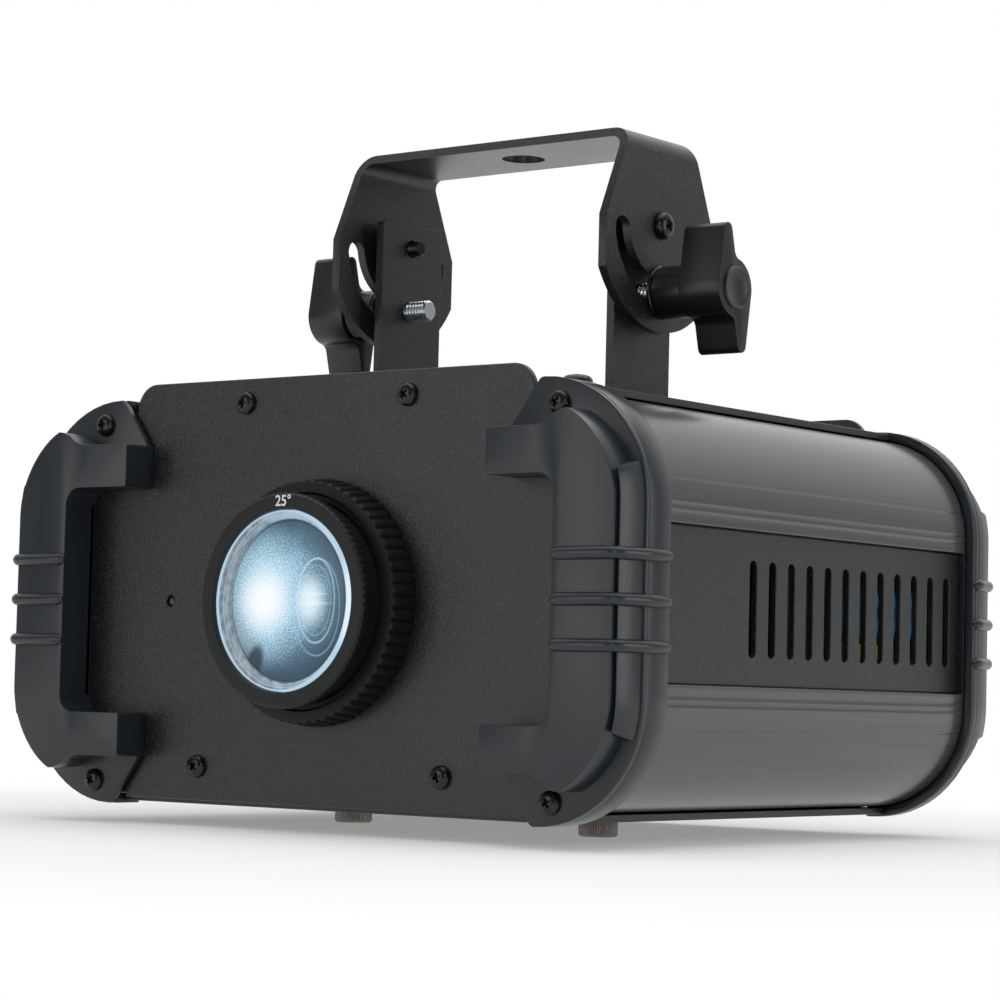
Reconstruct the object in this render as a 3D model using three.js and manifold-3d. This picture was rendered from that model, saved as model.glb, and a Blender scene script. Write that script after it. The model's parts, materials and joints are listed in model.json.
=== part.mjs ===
// Gobo projector: a small stage light that throws a pattern, hung from a tilting yoke.
// Millimetres, +Z up, the lens faces -Y. X is across the front, y = 0 is the front plate's face
// while the pieces are made, and the whole group is moved at the end so that its origin is the
// middle of its footprint, under the heads of the two thumbscrews that it stands on.

import * as THREE from 'three';
import { mergeVertices } from 'three/addons/utils/BufferGeometryUtils.js';
import Module from 'manifold-3d';

const wasm = await Module();
wasm.setup();

// General clearances
const seatGap = 0.3; // between resting or sliding neighbours
const cutOverrun = 1; // how far a cutting tool runs past the wall that it cuts
const weldDistance = 1e-4; // points nearer than this are one point
const flatness = 1e-3; // faces that lie this near to one plane become one

// How finely round faces are stepped
const lensSteps = 26; // round the lens axis, for the large pieces
const roundSteps = 18;
const smallSteps = 12;
const socketSteps = 14;
const pinSteps = 8;
const capacitorSteps = 16;
const boreSteps = 6; // small posts, pins and bores
const ridgeSteps = 4; // grooves and the guards' ribs
const bodyArcSteps = 3; // halves of a quarter round, for the body's outline
const cornerSteps = 2;
const slimCornerSteps = 1;
const armArcSteps = 6; // of the yoke's arms
const slotArcSteps = 5; // and of their slots

// Housing: four extruded corners, two vented panels, two covers, two end plates
const bodyWidth = 238;
const bodyHeight = 122.4;
const bodyLength = 183.8;
const bodyCornerRadius = 33.7;
const extrusionWall = 2.5;
const extrusionReach = 14; // how far an extrusion runs in under a cover
const extrusionGrooveRadius = 0.5;
const extrusionGrooveHeights = [3.2, 5.6, 13.2]; // above the extrusion's edge at the panel
const screwPortRadius = 4;
const screwPortBore = 1.7;
const extrusionHeight = 38.05; // from the panel's edge to the cover
const panelThickness = 2;
const panelInset = 2; // the panel's face behind the extrusions' faces
const panelLip = 4; // the extrusions' lips overlap the panel's edges by this
const panelLipThickness = 2;
const ventCount = 12;
const ventWidth = 3.9;
const ventMargin = 8.65; // of the panel above and below its slots
const ventFirst = 61.2; // first slot's middle behind the front plate's face
const ventLast = 8.3; // and the last one's in front of the housing's rear edge
const coverSetIn = 28.8; // the covers' long edges inside the housing's sides
const coverThickness = 2.2;
const plateThickness = 2;
const plateSetIn = 0.4; // the end plates' edges inside the guards' skirts
const plateTabSetIn = 39; // raised middle of each end plate, inside the housing's sides
const plateTabRise = 8.3; // above the housing
const plateTabDrop = 1.3; // below the housing
const plateTabRadius = 9;
const sensorSetIn = 17; // remote sensor beside the lens, from the raised middle's edge
const sensorHoleRadius = 1.8;
const sensorDepth = 3;
const sensorFlangeRadius = 3.2;
const sensorFlangeThickness = 1.2;

// Moulded corner guards
const guardBodyGap = 0.4;
const guardSkirtWall = 3.1;
const guardFlangeThickness = 2.45;
const guardSkirtFront = 9.5; // how far the front guards' skirts run back past the plate's face
const guardSkirtRear = 2.4;
const guardSkirtClear = 3; // the skirt begins this far beside the end plate's raised middle
const guardFlangeClear = 4; // and the flange's slanting edge meets the outline here
const barDepth = 13.7; // the bar's face in front of the plate's face
const barSetIn = 3.8; // the bar's outer side inside the guard's outline
const barWidth = 21.1;
const barArcRadius = 28.9;
const barWall = 2.6;
const armReach = 25.3; // the arms' length from the bar's inner side
const armSetIn = 15.2; // the arms' outer edges inside the guard's outline
const armWidth = 13.7;
const armFillet = 5.5;
const armCantLength = 15.2; // the arms' faces slope back over this length
const armCantDrop = 1.2;
const armNotchLength = 6.4; // the arm's edge rises beside the guard screw
const armNotchRise = 3.8;
const armNotchSetIn = 20.3; // from the bar's outer side
const barArcStartAngle = THREE.MathUtils.degToRad(66);
const padChannel = 1.1;
const padChannelDepth = 4.2;
const padFront = 12.3; // the side pad's front edge in front of the plate's face
const padFrontInset = 2.6; // and how far that edge lies inside the outline
const padRearInset = 0.3;
const padFrontEnd = 27.7; // the pad's ends from the guard's top and bottom, at its front edge
const padRearEnd = 24.7; // and at its rear edge
const ribCount = 3;
const ribPitch = 12.9;
const ribWidth = 3.9;
const ribProud = 2;
const ribSetIn = 2.4; // a rib begins this far from the bar's inner side
const ribCrest = 0.8; // the width of a rib's back
const ribRoot = 0.4; // how high its sides rise before they slope in

// Thumbscrews under the hatch: the projector stands on their heads and on the guards
const thumbProud = 6; // how far the heads hang below the guards
const thumbSetIn = 15.7; // from the hatch's ends
const thumbBehindStage = 7.8;
const thumbHeadRadius = 6.2;
const thumbKnurls = 14;
const thumbKnurlDepth = 0.35;
const thumbShankRadius = 2.5;
const thumbShankLength = 9;
const thumbGuideGap = 0.7; // round the shanks, in the hatch and in its rails
const thumbTipShare = 0.4; // of the knurl's pitch

// Bottom hatch under the gobo
const hatchSetIn = 24.2; // the hatch's ends inside the cover's edges
const hatchDepth = 50;
const hatchGap = 0.4;
const hatchCornerRadius = 4;
const hatchRailWidth = 10; // rails inside that the hatch's thumbscrews draw it up to
const hatchRailThickness = 2;

// Lens, from the front: knurled ring and glass on a sliding barrel, fluted focus ring, fixed tube
const lensHeight = -0.6; // the lens axis from the middle of the body
const frontRingFace = 18.2; // in front of the plate's face
const frontRingDepth = 4.2;
const frontRingOver = 2; // larger than the barrel
const frontRingLip = 1.3; // laps over the glass
const frontRingKnurls = 40;
const frontRingKnurlDepth = 0.5;
const frontRingKnurlShare = 0.35; // of the knurl's pitch, at its tip
const focusRingFace = 9.3;
const focusRingWall = 4.6;
const focusRingFlutes = 40;
const focusRingFluteDepth = 0.7;
const focusRingTipShare = 0.5; // of the flute's pitch
const focusRingTaper = 1.1; // smaller at its front edge by this
const focusRingLip = 0.8; // stands this far in front of the tube
const barrelRadius = 30.6;
const barrelWall = 3.6;
const barrelBeforeTube = 4; // the barrel's rear edge inside the tube's
const lensSeatWall = 1.8;
const lensEdgeThickness = 4;
const lensCrown = 3.6;
const fieldLensBefore = 16; // second glass in the barrel, in front of its rear edge
const fieldLensThickness = 4;
const fieldLensCrown = 4;
const fieldLensLedge = 1.6;
const tubeWall = 2;
const tubeBeforeStage = 24;
const tubeFlangeOver = 9.1; // larger than the tube
const tubeFlangeThickness = 3;

// Gobo stage: a geared holder that turns on a hub, driven by a pinion
const stageBeforeMiddle = 24.2; // the stage plate's front face
const stageThickness = 2.5;
const stageSetIn = 43; // inside the housing's sides
const stageTop = 44; // above the lens axis
const stageLegWidth = 9;
const stageLegTop = 38; // the legs' inner height below the lens axis
const stageFootDepth = 14;
const stageFootThickness = 2;
const hubRadius = 20;
const hubWall = 3;
const hubLength = 6;
const gearTipShare = 0.24; // of a tooth's pitch, at its tip and at its root
const gearRootShare = 0.56;
const gearTeeth = 30;
const pinionTeeth = 10;
const gearModule = 1.8;
const gearAddendumShare = 0.85; // of the module, above and below the pitch circle
const gearDedendumShare = 1.2;
const gearWidth = 5;
const gearWebThickness = 1.6;
const gearRimHeight = 2;
const gearRimRadius = 22.5;
const gearAperture = 14;
const goboRadius = 19.5;
const goboThickness = 1;
const goboSpots = 7;
const goboSpotRadius = 2.1;
const goboSpotCircle = 9;
const goboCentreRadius = 3.4;
const pinionAngle = THREE.MathUtils.degToRad(48);
const motorRadius = 12;
const motorLength = 17;
const motorShaftRadius = 2;
const motorShaftDepth = 6; // in the motor
const motorEarWidth = 8;
const motorEarReach = 19;
const motorEarThickness = 1.5;

// Condenser, light engine and fan, behind the gobo
const condenserBeforeSink = 22;
const condenserPlateThickness = 3;
const condenserPlateWidth = 70;
const condenserPlateTop = 32; // above the lens axis
const condenserLedge = 1.5;
const condenserRadius = 22;
const condenserThickness = 5;
const condenserCrown = 6;
const condenserHousingWall = 2;
const condenserHousingDepth = 8;
const footDepth = 12;
const footThickness = 2;
const heatsinkBeforeRear = 52.1;
const heatsinkWidth = 84;
const heatsinkHeight = 70;
const heatsinkBase = 6;
const heatsinkFins = 13;
const heatsinkFinThickness = 1.6;
const heatsinkDepth = 32;
const heatsinkLegWidth = 9;
const ledBoardRadius = 18;
const ledBoardThickness = 1.6;
const ledEmitterRadius = 6;
const ledEmitterHeight = 1.4;
const fanInletGap = 0.4; // over the mains inlet
const fanDepth = 15;
const fanFrameWall = 1.5;
const fanHubRadius = 11;
const fanBlades = 7;
const fanBladeRootPitch = THREE.MathUtils.degToRad(52); // from the fan's plane
const fanBladeTipPitch = THREE.MathUtils.degToRad(30);
const fanBladeThickness = 1.4;
const fanBladeChord = 11;
const fanBladeSink = 1.5; // the blades' roots inside the hub
const fanHubFront = 1; // the hub behind the frame's front face
const fanCornerRadius = 3;
const fanTipGap = 1;
const fanStrutWidth = 4;
const fanStrutThickness = 2;
const fanMotorPlate = 12; // radius of the plate that the fan's hub turns on
const fanAxleRadius = 2;
const fanAxleLength = 6;

// Circuit boards
const boardThickness = 1.6;
const boardInset = 21; // the power board's outer face in from the side panel's
const boardPostRadius = 1.6;
const powerBoardLength = 74;
const powerBoardHeight = 78;
const powerBoardBeforeRear = 6.1;
const powerPostIn = 6; // posts in from the board's ends, between two slots of the panel
const powerPostOver = 2.5; // and above and below the slots
const capacitorRadius = 8;
const capacitorLength = 36;
const capacitorAlong = 32; // from the power board's front edge
const capacitorUp = 2; // above its middle
const transformerLength = 20;
const transformerHeight = 14;
const transformerDepth = 8.5;
const transformerAlong = 30;
const transformerDown = 15; // below its middle

// Rear panel
const fanGrilleSlots = 7;
const fanGrilleSlotWidth = 3.6;
const fanGrilleInside = 1.5; // of the fan's bore
const displayAcross = 36;
const displayWidth = 44;
const displayHeight = 16;
const displayDrop = 17.2; // below the housing's top
const displayProud = 1.2;
const displayLip = 1.6;
const displayLipThickness = 1.6;
const displayCornerRadius = 2;
const controlBoardWidth = 136;
const controlBoardHeight = 24;
const controlBoardBehind = 10; // between the board and the rear plate
const controlPostIn = 3.5; // the board's posts in from its edges
const buttonCount = 4;
const buttonPitch = 14;
const buttonFirst = 15; // from the middle, away from the display
const buttonRadius = 4;
const buttonProud = 2.6;
const buttonTravel = 1.2;
const buttonFlange = 1.2;
const buttonFlangeThickness = 1;
const buttonStemRadius = 1.5;
const buttonCrown = 0.6; // the chamfer round a button's head
const switchSize = 6;
const switchHeight = 3.6;
const socketRadius = 12;
const socketFlange = 26;
const socketFlangeHeight = 31;
const socketFlangeThickness = 1.8;
const socketFlangeCorner = 3;
const socketDepth = 17;
const socketWall = 1.6;
const socketAcross = 48;
const socketPitch = 31;
const socketRise = 17.7; // above the housing's bottom
const socketPinRadius = 1.2;
const socketPinCircle = 4.4;
const socketPinLength = 8;
const socketPins = 3;
const socketBackWall = 2;
const socketInsertGap = 1.6;
const inletAcross = 36; // on the other side of the middle
const inletWidth = 48;
const inletHeight = 25;
const inletFlangeOver = 3;
const inletFlangeThickness = 2.4;
const inletDepth = 20;
const inletWall = 2;
const inletCupWidth = 25;
const inletCupDepth = 15;
const inletCorner = 3;
const inletPinWidth = 2;
const inletPinHeight = 5;
const inletPinLength = 8;
const inletPinPitch = 7;
const fuseWidth = 12;
const fuseHeight = 16;
const fuseGroove = 1;
const safetyAcross = 60;
const safetyPlateWidth = 14;
const safetyPlateHeight = 26;
const safetyPlateThickness = 2.5;
const safetyPlateCorner = 3;
const safetyLoopRadius = 7.5;
const safetyLoopWire = 2.2;

// Hanging gear: base bracket with two uprights, yoke, pivots and clamp knobs
const yokeBehindMiddle = 2.4;
const sheet = 3; // the yoke's and the bracket's steel
const uprightOuter = 49.8; // |X| of the uprights' outer faces
const uprightWidth = 31.4;
const uprightRise = 8; // the uprights' tops above the pivot
const uprightCornerRadius = 2;
const bracketBend = 3; // inside the bracket's bends
const yokeArmOuter = 56.6;
const yokeWidest = 60.6;
const yokeTopWidth = 34.6;
const yokeTopAbovePivot = 29.8;
const yokeBend = 4; // inside the yoke's bends
const yokeHole = 7.2; // radius of the clamp bolt's hole
const pivotHeight = 60.9; // the pivot above the top cover
const studDrop = 21.8; // the clamp studs below the pivot, and the slots' radius
const slotWidth = 8.2;
const slotHalfAngle = THREE.MathUtils.degToRad(80);
const yokeFootRadius = 34.5; // the arms' round lower ends about the pivot
const pivotShankRadius = 2.7;
const pivotHeadRadius = 4.5;
const pivotHeadHeight = 3.4;
const pivotEndProud = 3.6; // past the uprights' inner faces
const pivotHeadChamfer = 0.8;
const spacerRadius = 8;
const studRadius = 3.6;
const studEndProud = 8.3;
const washerRadius = 8.6;
const washerThickness = 1.2;
const knobBossRadius = 8.5;
const knobHubRadius = 9.5;
const knobDepth = 27;
const knobWingDepth = 15.5;
const knobWingReach = 20.8;
const knobWingTip = 4.7;
const knobWingLean = THREE.MathUtils.degToRad(14);
const knobCapRadius = 6.3;
const knobCapHeight = 0.8;
const knobFillet = 3;
const knobStudSocket = 12;

// Places that follow from the sizes above
const bodyHalfWidth = bodyWidth / 2;
const bodyHalfHeight = bodyHeight / 2;
const guardHalfWidth = bodyHalfWidth + guardBodyGap + guardSkirtWall;
const guardHalfHeight = bodyHalfHeight + guardBodyGap + guardSkirtWall;
const guardCornerRadius = bodyCornerRadius + guardBodyGap + guardSkirtWall;
const midZ = thumbProud + guardHalfHeight;
const barOuter = guardHalfWidth - barSetIn;
const barInner = barOuter - barWidth;
const armEnd = barInner - armReach;
const armOuter = guardHalfHeight - armSetIn;
const armInner = armOuter - armWidth;
const plateTabHalf = bodyHalfWidth - plateTabSetIn;
const plateTabTop = bodyHalfHeight + plateTabRise;
const plateTabBottom = bodyHalfHeight + plateTabDrop;
const sensorAcross = plateTabHalf - sensorSetIn;
const bodyFront = plateThickness + seatGap;
const bodyRear = bodyFront + bodyLength;
const bodyMiddle = bodyFront + bodyLength / 2;
const rearPlateFront = bodyRear + seatGap;
const rearFace = rearPlateFront + plateThickness;
const panelFace = bodyHalfWidth - panelInset;
const panelHeight = bodyHeight - 2 * extrusionHeight;
const ventHeight = panelHeight - 2 * ventMargin;
const ventPitch = (bodyRear - ventLast - ventFirst) / (ventCount - 1);
const coverHalf = bodyHalfWidth - coverSetIn;
const coverBottom = midZ + bodyHalfHeight + seatGap;
const coverTop = coverBottom + coverThickness;
const bottomCoverTop = midZ - bodyHalfHeight - seatGap;
const bottomCoverBottom = bottomCoverTop - coverThickness;
const lensZ = midZ + lensHeight;
const stageBack = bodyMiddle - stageBeforeMiddle;
const tubeRear = stageBack - tubeBeforeStage;
const tubeBore = barrelRadius + seatGap;
const tubeRadius = tubeBore + tubeWall;
const tubeFlangeRadius = tubeRadius + tubeFlangeOver;
const barrelFront = -frontRingFace + frontRingDepth + seatGap;
const barrelRear = tubeRear - barrelBeforeTube;
const barrelBore = barrelRadius - barrelWall;
const lensSeatRadius = barrelRadius - lensSeatWall;
const fieldLensBack = barrelRear - fieldLensBefore;
const frontRingRadius = barrelRadius + frontRingOver;
const frontRingOpening = lensSeatRadius - frontRingLip;
const focusRingRadius = tubeRadius + seatGap + focusRingWall;
const gearPitchRadius = gearModule * gearTeeth / 2;
const pinionPitchRadius = gearModule * pinionTeeth / 2;
const gearDistance = gearPitchRadius + pinionPitchRadius;
const pinionX = gearDistance * Math.cos(pinionAngle);
const pinionZ = lensZ + gearDistance * Math.sin(pinionAngle);
const stageRear = stageBack + stageThickness;
const gearFront = stageRear + seatGap;
const hatchHalf = coverHalf - hatchSetIn;
const thumbAcross = hatchHalf - thumbSetIn;
const thumbBack = stageBack + thumbBehindStage;
const hatchFront = thumbBack - hatchDepth / 2;
const hatchBack = thumbBack + hatchDepth / 2;
const heatsinkFront = bodyRear - heatsinkBeforeRear;
const condenserBack = heatsinkFront - condenserBeforeSink;
const displayUp = bodyHalfHeight - displayDrop;
const socketDown = bodyHalfHeight - socketRise;
const fanHalf = socketDown - inletHeight / 2 + lensHeight - fanInletGap;
const fanBoreRadius = fanHalf - fanFrameWall;
const fanGrilleRadius = fanBoreRadius - fanGrilleInside;
const yokeBack = bodyMiddle + yokeBehindMiddle;
const pivotZ = coverTop + pivotHeight;
const studZ = pivotZ - studDrop;
const uprightInner = uprightOuter - sheet;
const yokeArmInner = yokeArmOuter - sheet;
const yokeTop = pivotZ + yokeTopAbovePivot;
const washerInner = yokeArmOuter + seatGap;
const knobBack = washerInner + washerThickness + seatGap;
const knobFace = knobBack + knobDepth;
const frontLimit = -frontRingFace;
const rearLimit = rearFace + barDepth + ribProud;
const footBottom = bottomCoverTop + seatGap;

// Finishes
const finish = {
  texturedBlack: new THREE.MeshStandardMaterial({ color: 0x26272a, roughness: 0.75, metalness: 0.2 }),
  mouldedGrey: new THREE.MeshStandardMaterial({ color: 0x33383d, roughness: 0.45, metalness: 0.0 }),
  gunmetal: new THREE.MeshStandardMaterial({ color: 0x5d5f62, roughness: 0.35, metalness: 0.9 }),
  blackPlastic: new THREE.MeshStandardMaterial({ color: 0x14181b, roughness: 0.4, metalness: 0.0 }),
  anodisedBlack: new THREE.MeshStandardMaterial({ color: 0x1b1b1c, roughness: 0.5, metalness: 0.6 }),
  blackOxide: new THREE.MeshStandardMaterial({ color: 0x17181a, roughness: 0.35, metalness: 0.9 }),
  zinc: new THREE.MeshStandardMaterial({ color: 0xa9b2ba, roughness: 0.3, metalness: 0.95 }),
  bronzedSteel: new THREE.MeshStandardMaterial({ color: 0x5a4f47, roughness: 0.4, metalness: 0.9 }),
  aluminium: new THREE.MeshStandardMaterial({ color: 0xa8aaad, roughness: 0.4, metalness: 0.9 }),
  glass: new THREE.MeshStandardMaterial({ color: 0xcfe3ee, roughness: 0.05, transparent: true,
    opacity: 0.4 }),
  smokedWindow: new THREE.MeshStandardMaterial({ color: 0x0c0e10, roughness: 0.1, metalness: 0.0 }),
  circuitBoard: new THREE.MeshStandardMaterial({ color: 0x12402a, roughness: 0.5, metalness: 0.1 }),
  whiteBoard: new THREE.MeshStandardMaterial({ color: 0xe6e8ea, roughness: 0.5, metalness: 0.1 }),
  blueSleeve: new THREE.MeshStandardMaterial({ color: 0x1f5f8f, roughness: 0.35, metalness: 0.1 }),
  amberTape: new THREE.MeshStandardMaterial({ color: 0xc8891c, roughness: 0.4, metalness: 0.0 }),
  nylon: new THREE.MeshStandardMaterial({ color: 0x2a2b2c, roughness: 0.6, metalness: 0.0 }),
  galvanised: new THREE.MeshStandardMaterial({ color: 0x8e9398, roughness: 0.45, metalness: 0.85 }),
};

const projector = new THREE.Group();
const axisX = new THREE.Vector3(1, 0, 0);
const axisY = new THREE.Vector3(0, 1, 0);
const axisZ = new THREE.Vector3(0, 0, 1);

// Leaves position alone and shares the vertices that lie together.
function welded(geometry) {
  const bare = new THREE.BufferGeometry();
  bare.setAttribute('position', geometry.getAttribute('position'));
  if (geometry.index) bare.setIndex(geometry.index);
  return mergeVertices(bare, weldDistance);
}

// Turns a closed, welded geometry into a solid whose faces point out.
function solidFrom(geometry) {
  const place = geometry.getAttribute('position');
  const corners = Array.from(geometry.index.array);
  const a = new THREE.Vector3();
  const b = new THREE.Vector3();
  const c = new THREE.Vector3();
  const faces = [];
  let volume = 0;
  for (let i = 0; i < corners.length; i += 3) {
    const [p, q, r] = corners.slice(i, i + 3);
    if (p === q || q === r || r === p) continue;
    a.fromBufferAttribute(place, p);
    b.fromBufferAttribute(place, q);
    c.fromBufferAttribute(place, r);
    volume += a.dot(b.cross(c));
    faces.push(p, q, r);
  }
  if (volume < 0) turnFaces(faces);
  const mesh = new wasm.Mesh({
    numProp: 3,
    vertProperties: new Float32Array(place.array),
    triVerts: new Uint32Array(faces),
  });
  return new wasm.Manifold(mesh);
}

function turnFaces(corners) {
  for (let i = 0; i < corners.length; i += 3) [corners[i], corners[i + 1]] = [corners[i + 1], corners[i]];
}

function geometryFrom(solid) {
  const mesh = solid.asOriginal().simplify(flatness).getMesh();
  const geometry = new THREE.BufferGeometry();
  geometry.setAttribute('position', new THREE.BufferAttribute(new Float32Array(mesh.vertProperties), 3));
  geometry.setIndex(Array.from(mesh.triVerts));
  geometry.computeVertexNormals();
  return geometry;
}

function join(...solids) {
  return solids.reduce((whole, piece) => whole.add(piece));
}

function cut(solid, ...tools) {
  return tools.reduce((whole, tool) => whole.subtract(tool), solid);
}

// Straight steps along a shape's outline and holes, with no two points together.
function stepped(shape, arcSteps) {
  const apart = (points) => points.filter((point, index) => {
    const before = points[(index + points.length - 1) % points.length];
    return point.distanceTo(before) > weldDistance;
  });
  const { shape: outline, holes } = shape.extractPoints(arcSteps);
  const plain = new THREE.Shape(apart(outline));
  plain.holes = holes.map((hole) => new THREE.Path(apart(hole)));
  return plain;
}

function extruded(shape, depth, arcSteps) {
  return welded(new THREE.ExtrudeGeometry(stepped(shape, arcSteps), { depth, bevelEnabled: false }));
}

// A shape drawn in (x, z), carried from y0 back to y1.
function alongY(shape, y0, y1, arcSteps = armArcSteps) {
  const geometry = extruded(shape, y1 - y0, arcSteps);
  geometry.rotateX(Math.PI / 2);
  geometry.translate(0, y1, 0);
  return solidFrom(geometry);
}

// A shape drawn in (x, y), carried from z0 up to z1.
function alongZ(shape, z0, z1, arcSteps = armArcSteps) {
  const geometry = extruded(shape, z1 - z0, arcSteps);
  geometry.translate(0, 0, z0);
  return solidFrom(geometry);
}

// A shape drawn in (y, z), carried from x0 to x1.
function alongX(shape, x0, x1, arcSteps = armArcSteps) {
  const geometry = extruded(shape, x1 - x0, arcSteps);
  geometry.applyMatrix4(new THREE.Matrix4().makeBasis(axisY, axisZ, axisX));
  geometry.translate(x0, 0, 0);
  return solidFrom(geometry);
}

function blockBetween(x0, x1, y0, y1, z0, z1) {
  const geometry = welded(new THREE.BoxGeometry(x1 - x0, y1 - y0, z1 - z0));
  geometry.translate((x0 + x1) / 2, (y0 + y1) / 2, (z0 + z1) / 2);
  return solidFrom(geometry);
}

// A profile of [radius, place along the axis] pairs turned about an axis through (u, v).
function turned(profile, axis, u, v, steps) {
  const closed = profile[0][0] > 0;
  const points = profile.map(([radius, along]) => new THREE.Vector2(radius, along));
  if (closed) points.push(points[0].clone());
  const geometry = welded(new THREE.LatheGeometry(points, steps));
  if (axis === 'x') geometry.applyMatrix4(new THREE.Matrix4().makeBasis(axisY, axisX, axisZ));
  if (axis === 'z') geometry.applyMatrix4(new THREE.Matrix4().makeBasis(axisX, axisZ, axisY));
  if (axis === 'x') geometry.translate(0, u, v);
  if (axis === 'y') geometry.translate(u, 0, v);
  if (axis === 'z') geometry.translate(u, v, 0);
  return solidFrom(geometry);
}

function rod(radius, from, to, axis, u, v, steps) {
  return turned([[0, from], [radius, from], [radius, to], [0, to]], axis, u, v, steps);
}

function tube(outer, inner, from, to, axis, u, v, steps) {
  return turned([[inner, from], [outer, from], [outer, to], [inner, to]], axis, u, v, steps);
}

function rectangle(x0, x1, y0, y1) {
  const shape = new THREE.Shape();
  shape.moveTo(x0, y0);
  shape.lineTo(x1, y0);
  shape.lineTo(x1, y1);
  shape.lineTo(x0, y1);
  shape.closePath();
  return shape;
}

function roundedRectangle(x0, x1, y0, y1, radius) {
  const shape = new THREE.Shape();
  shape.moveTo(x0 + radius, y0);
  shape.lineTo(x1 - radius, y0);
  shape.absarc(x1 - radius, y0 + radius, radius, -Math.PI / 2, 0, false);
  shape.lineTo(x1, y1 - radius);
  shape.absarc(x1 - radius, y1 - radius, radius, 0, Math.PI / 2, false);
  shape.lineTo(x0 + radius, y1);
  shape.absarc(x0 + radius, y1 - radius, radius, Math.PI / 2, Math.PI, false);
  shape.lineTo(x0, y0 + radius);
  shape.absarc(x0 + radius, y0 + radius, radius, Math.PI, Math.PI * 1.5, false);
  shape.closePath();
  return shape;
}

function polygon(points) {
  const shape = new THREE.Shape();
  points.forEach(([x, y], index) => (index ? shape.lineTo(x, y) : shape.moveTo(x, y)));
  shape.closePath();
  return shape;
}

function circle(x, y, radius) {
  const shape = new THREE.Shape();
  shape.absarc(x, y, radius, 0, Math.PI * 2, false);
  return shape;
}

// Rounded outline about the middle of the body, for the housing and what wraps it.
function bodyOutline(halfWidth, halfHeight, radius) {
  return roundedRectangle(-halfWidth, halfWidth, midZ - halfHeight, midZ + halfHeight, radius);
}

// A prism between two convex outlines with as many points each, the first at y0.
function loftAlongY(outlineA, y0, outlineB, y1, arcSteps) {
  const ringA = stepped(outlineA, arcSteps).getPoints();
  const ringB = stepped(outlineB, arcSteps).getPoints();
  const count = ringA.length;
  const place = [];
  const index = [];
  for (const p of ringA) place.push(p.x, y0, p.y);
  for (const p of ringB) place.push(p.x, y1, p.y);
  for (let i = 0; i < count; i += 1) {
    const next = (i + 1) % count;
    index.push(i, next, count + next, i, count + next, count + i);
    if (i > 0 && i < count - 1) index.push(0, i + 1, i, count, count + i, count + i + 1);
  }
  const geometry = new THREE.BufferGeometry();
  geometry.setAttribute('position', new THREE.BufferAttribute(new Float32Array(place), 3));
  geometry.setIndex(index);
  return solidFrom(geometry);
}

// The same geometry on the other side of the middle.
function mirroredAcross(geometry) {
  const copy = geometry.clone();
  copy.scale(-1, 1, 1);
  turnFaces(copy.index.array);
  copy.computeVertexNormals();
  return copy;
}

function addNode(name, source, material) {
  const geometry = source instanceof THREE.BufferGeometry ? source : geometryFrom(source);
  const mesh = new THREE.Mesh(geometry, material);
  mesh.name = name;
  projector.add(mesh);
  return mesh;
}

// The right-hand piece as made, and its mirror image on the left.
function addPair(name, solid, material) {
  const right = geometryFrom(solid);
  addNode(`${name}_right`, right, material);
  addNode(`${name}_left`, mirroredAcross(right), material);
}

// A toothed or fluted outline about (u, v): each tooth is a share of the pitch wide at its tip.
function toothedOutline(u, v, tipRadius, rootRadius, count, tipShare, rootShare, turn = 0) {
  const points = [];
  const pitch = Math.PI * 2 / count;
  for (let i = 0; i < count; i += 1) {
    const middle = turn + i * pitch;
    const offsets = [[-rootShare, rootRadius], [-tipShare, tipRadius], [tipShare, tipRadius],
      [rootShare, rootRadius]];
    for (const [share, radius] of offsets) {
      const angle = middle + share * pitch / 2;
      points.push([u + radius * Math.cos(angle), v + radius * Math.sin(angle)]);
    }
  }
  return polygon(points);
}

// Where the extrusion's outer face is, at a height above its edge at the panel.
function extrusionFace(height) {
  const z = midZ + panelHeight / 2 + height;
  const above = Math.max(0, z - (midZ + bodyHalfHeight - bodyCornerRadius));
  const x = bodyHalfWidth - bodyCornerRadius + Math.sqrt(bodyCornerRadius ** 2 - above ** 2);
  return [x, z];
}

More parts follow.
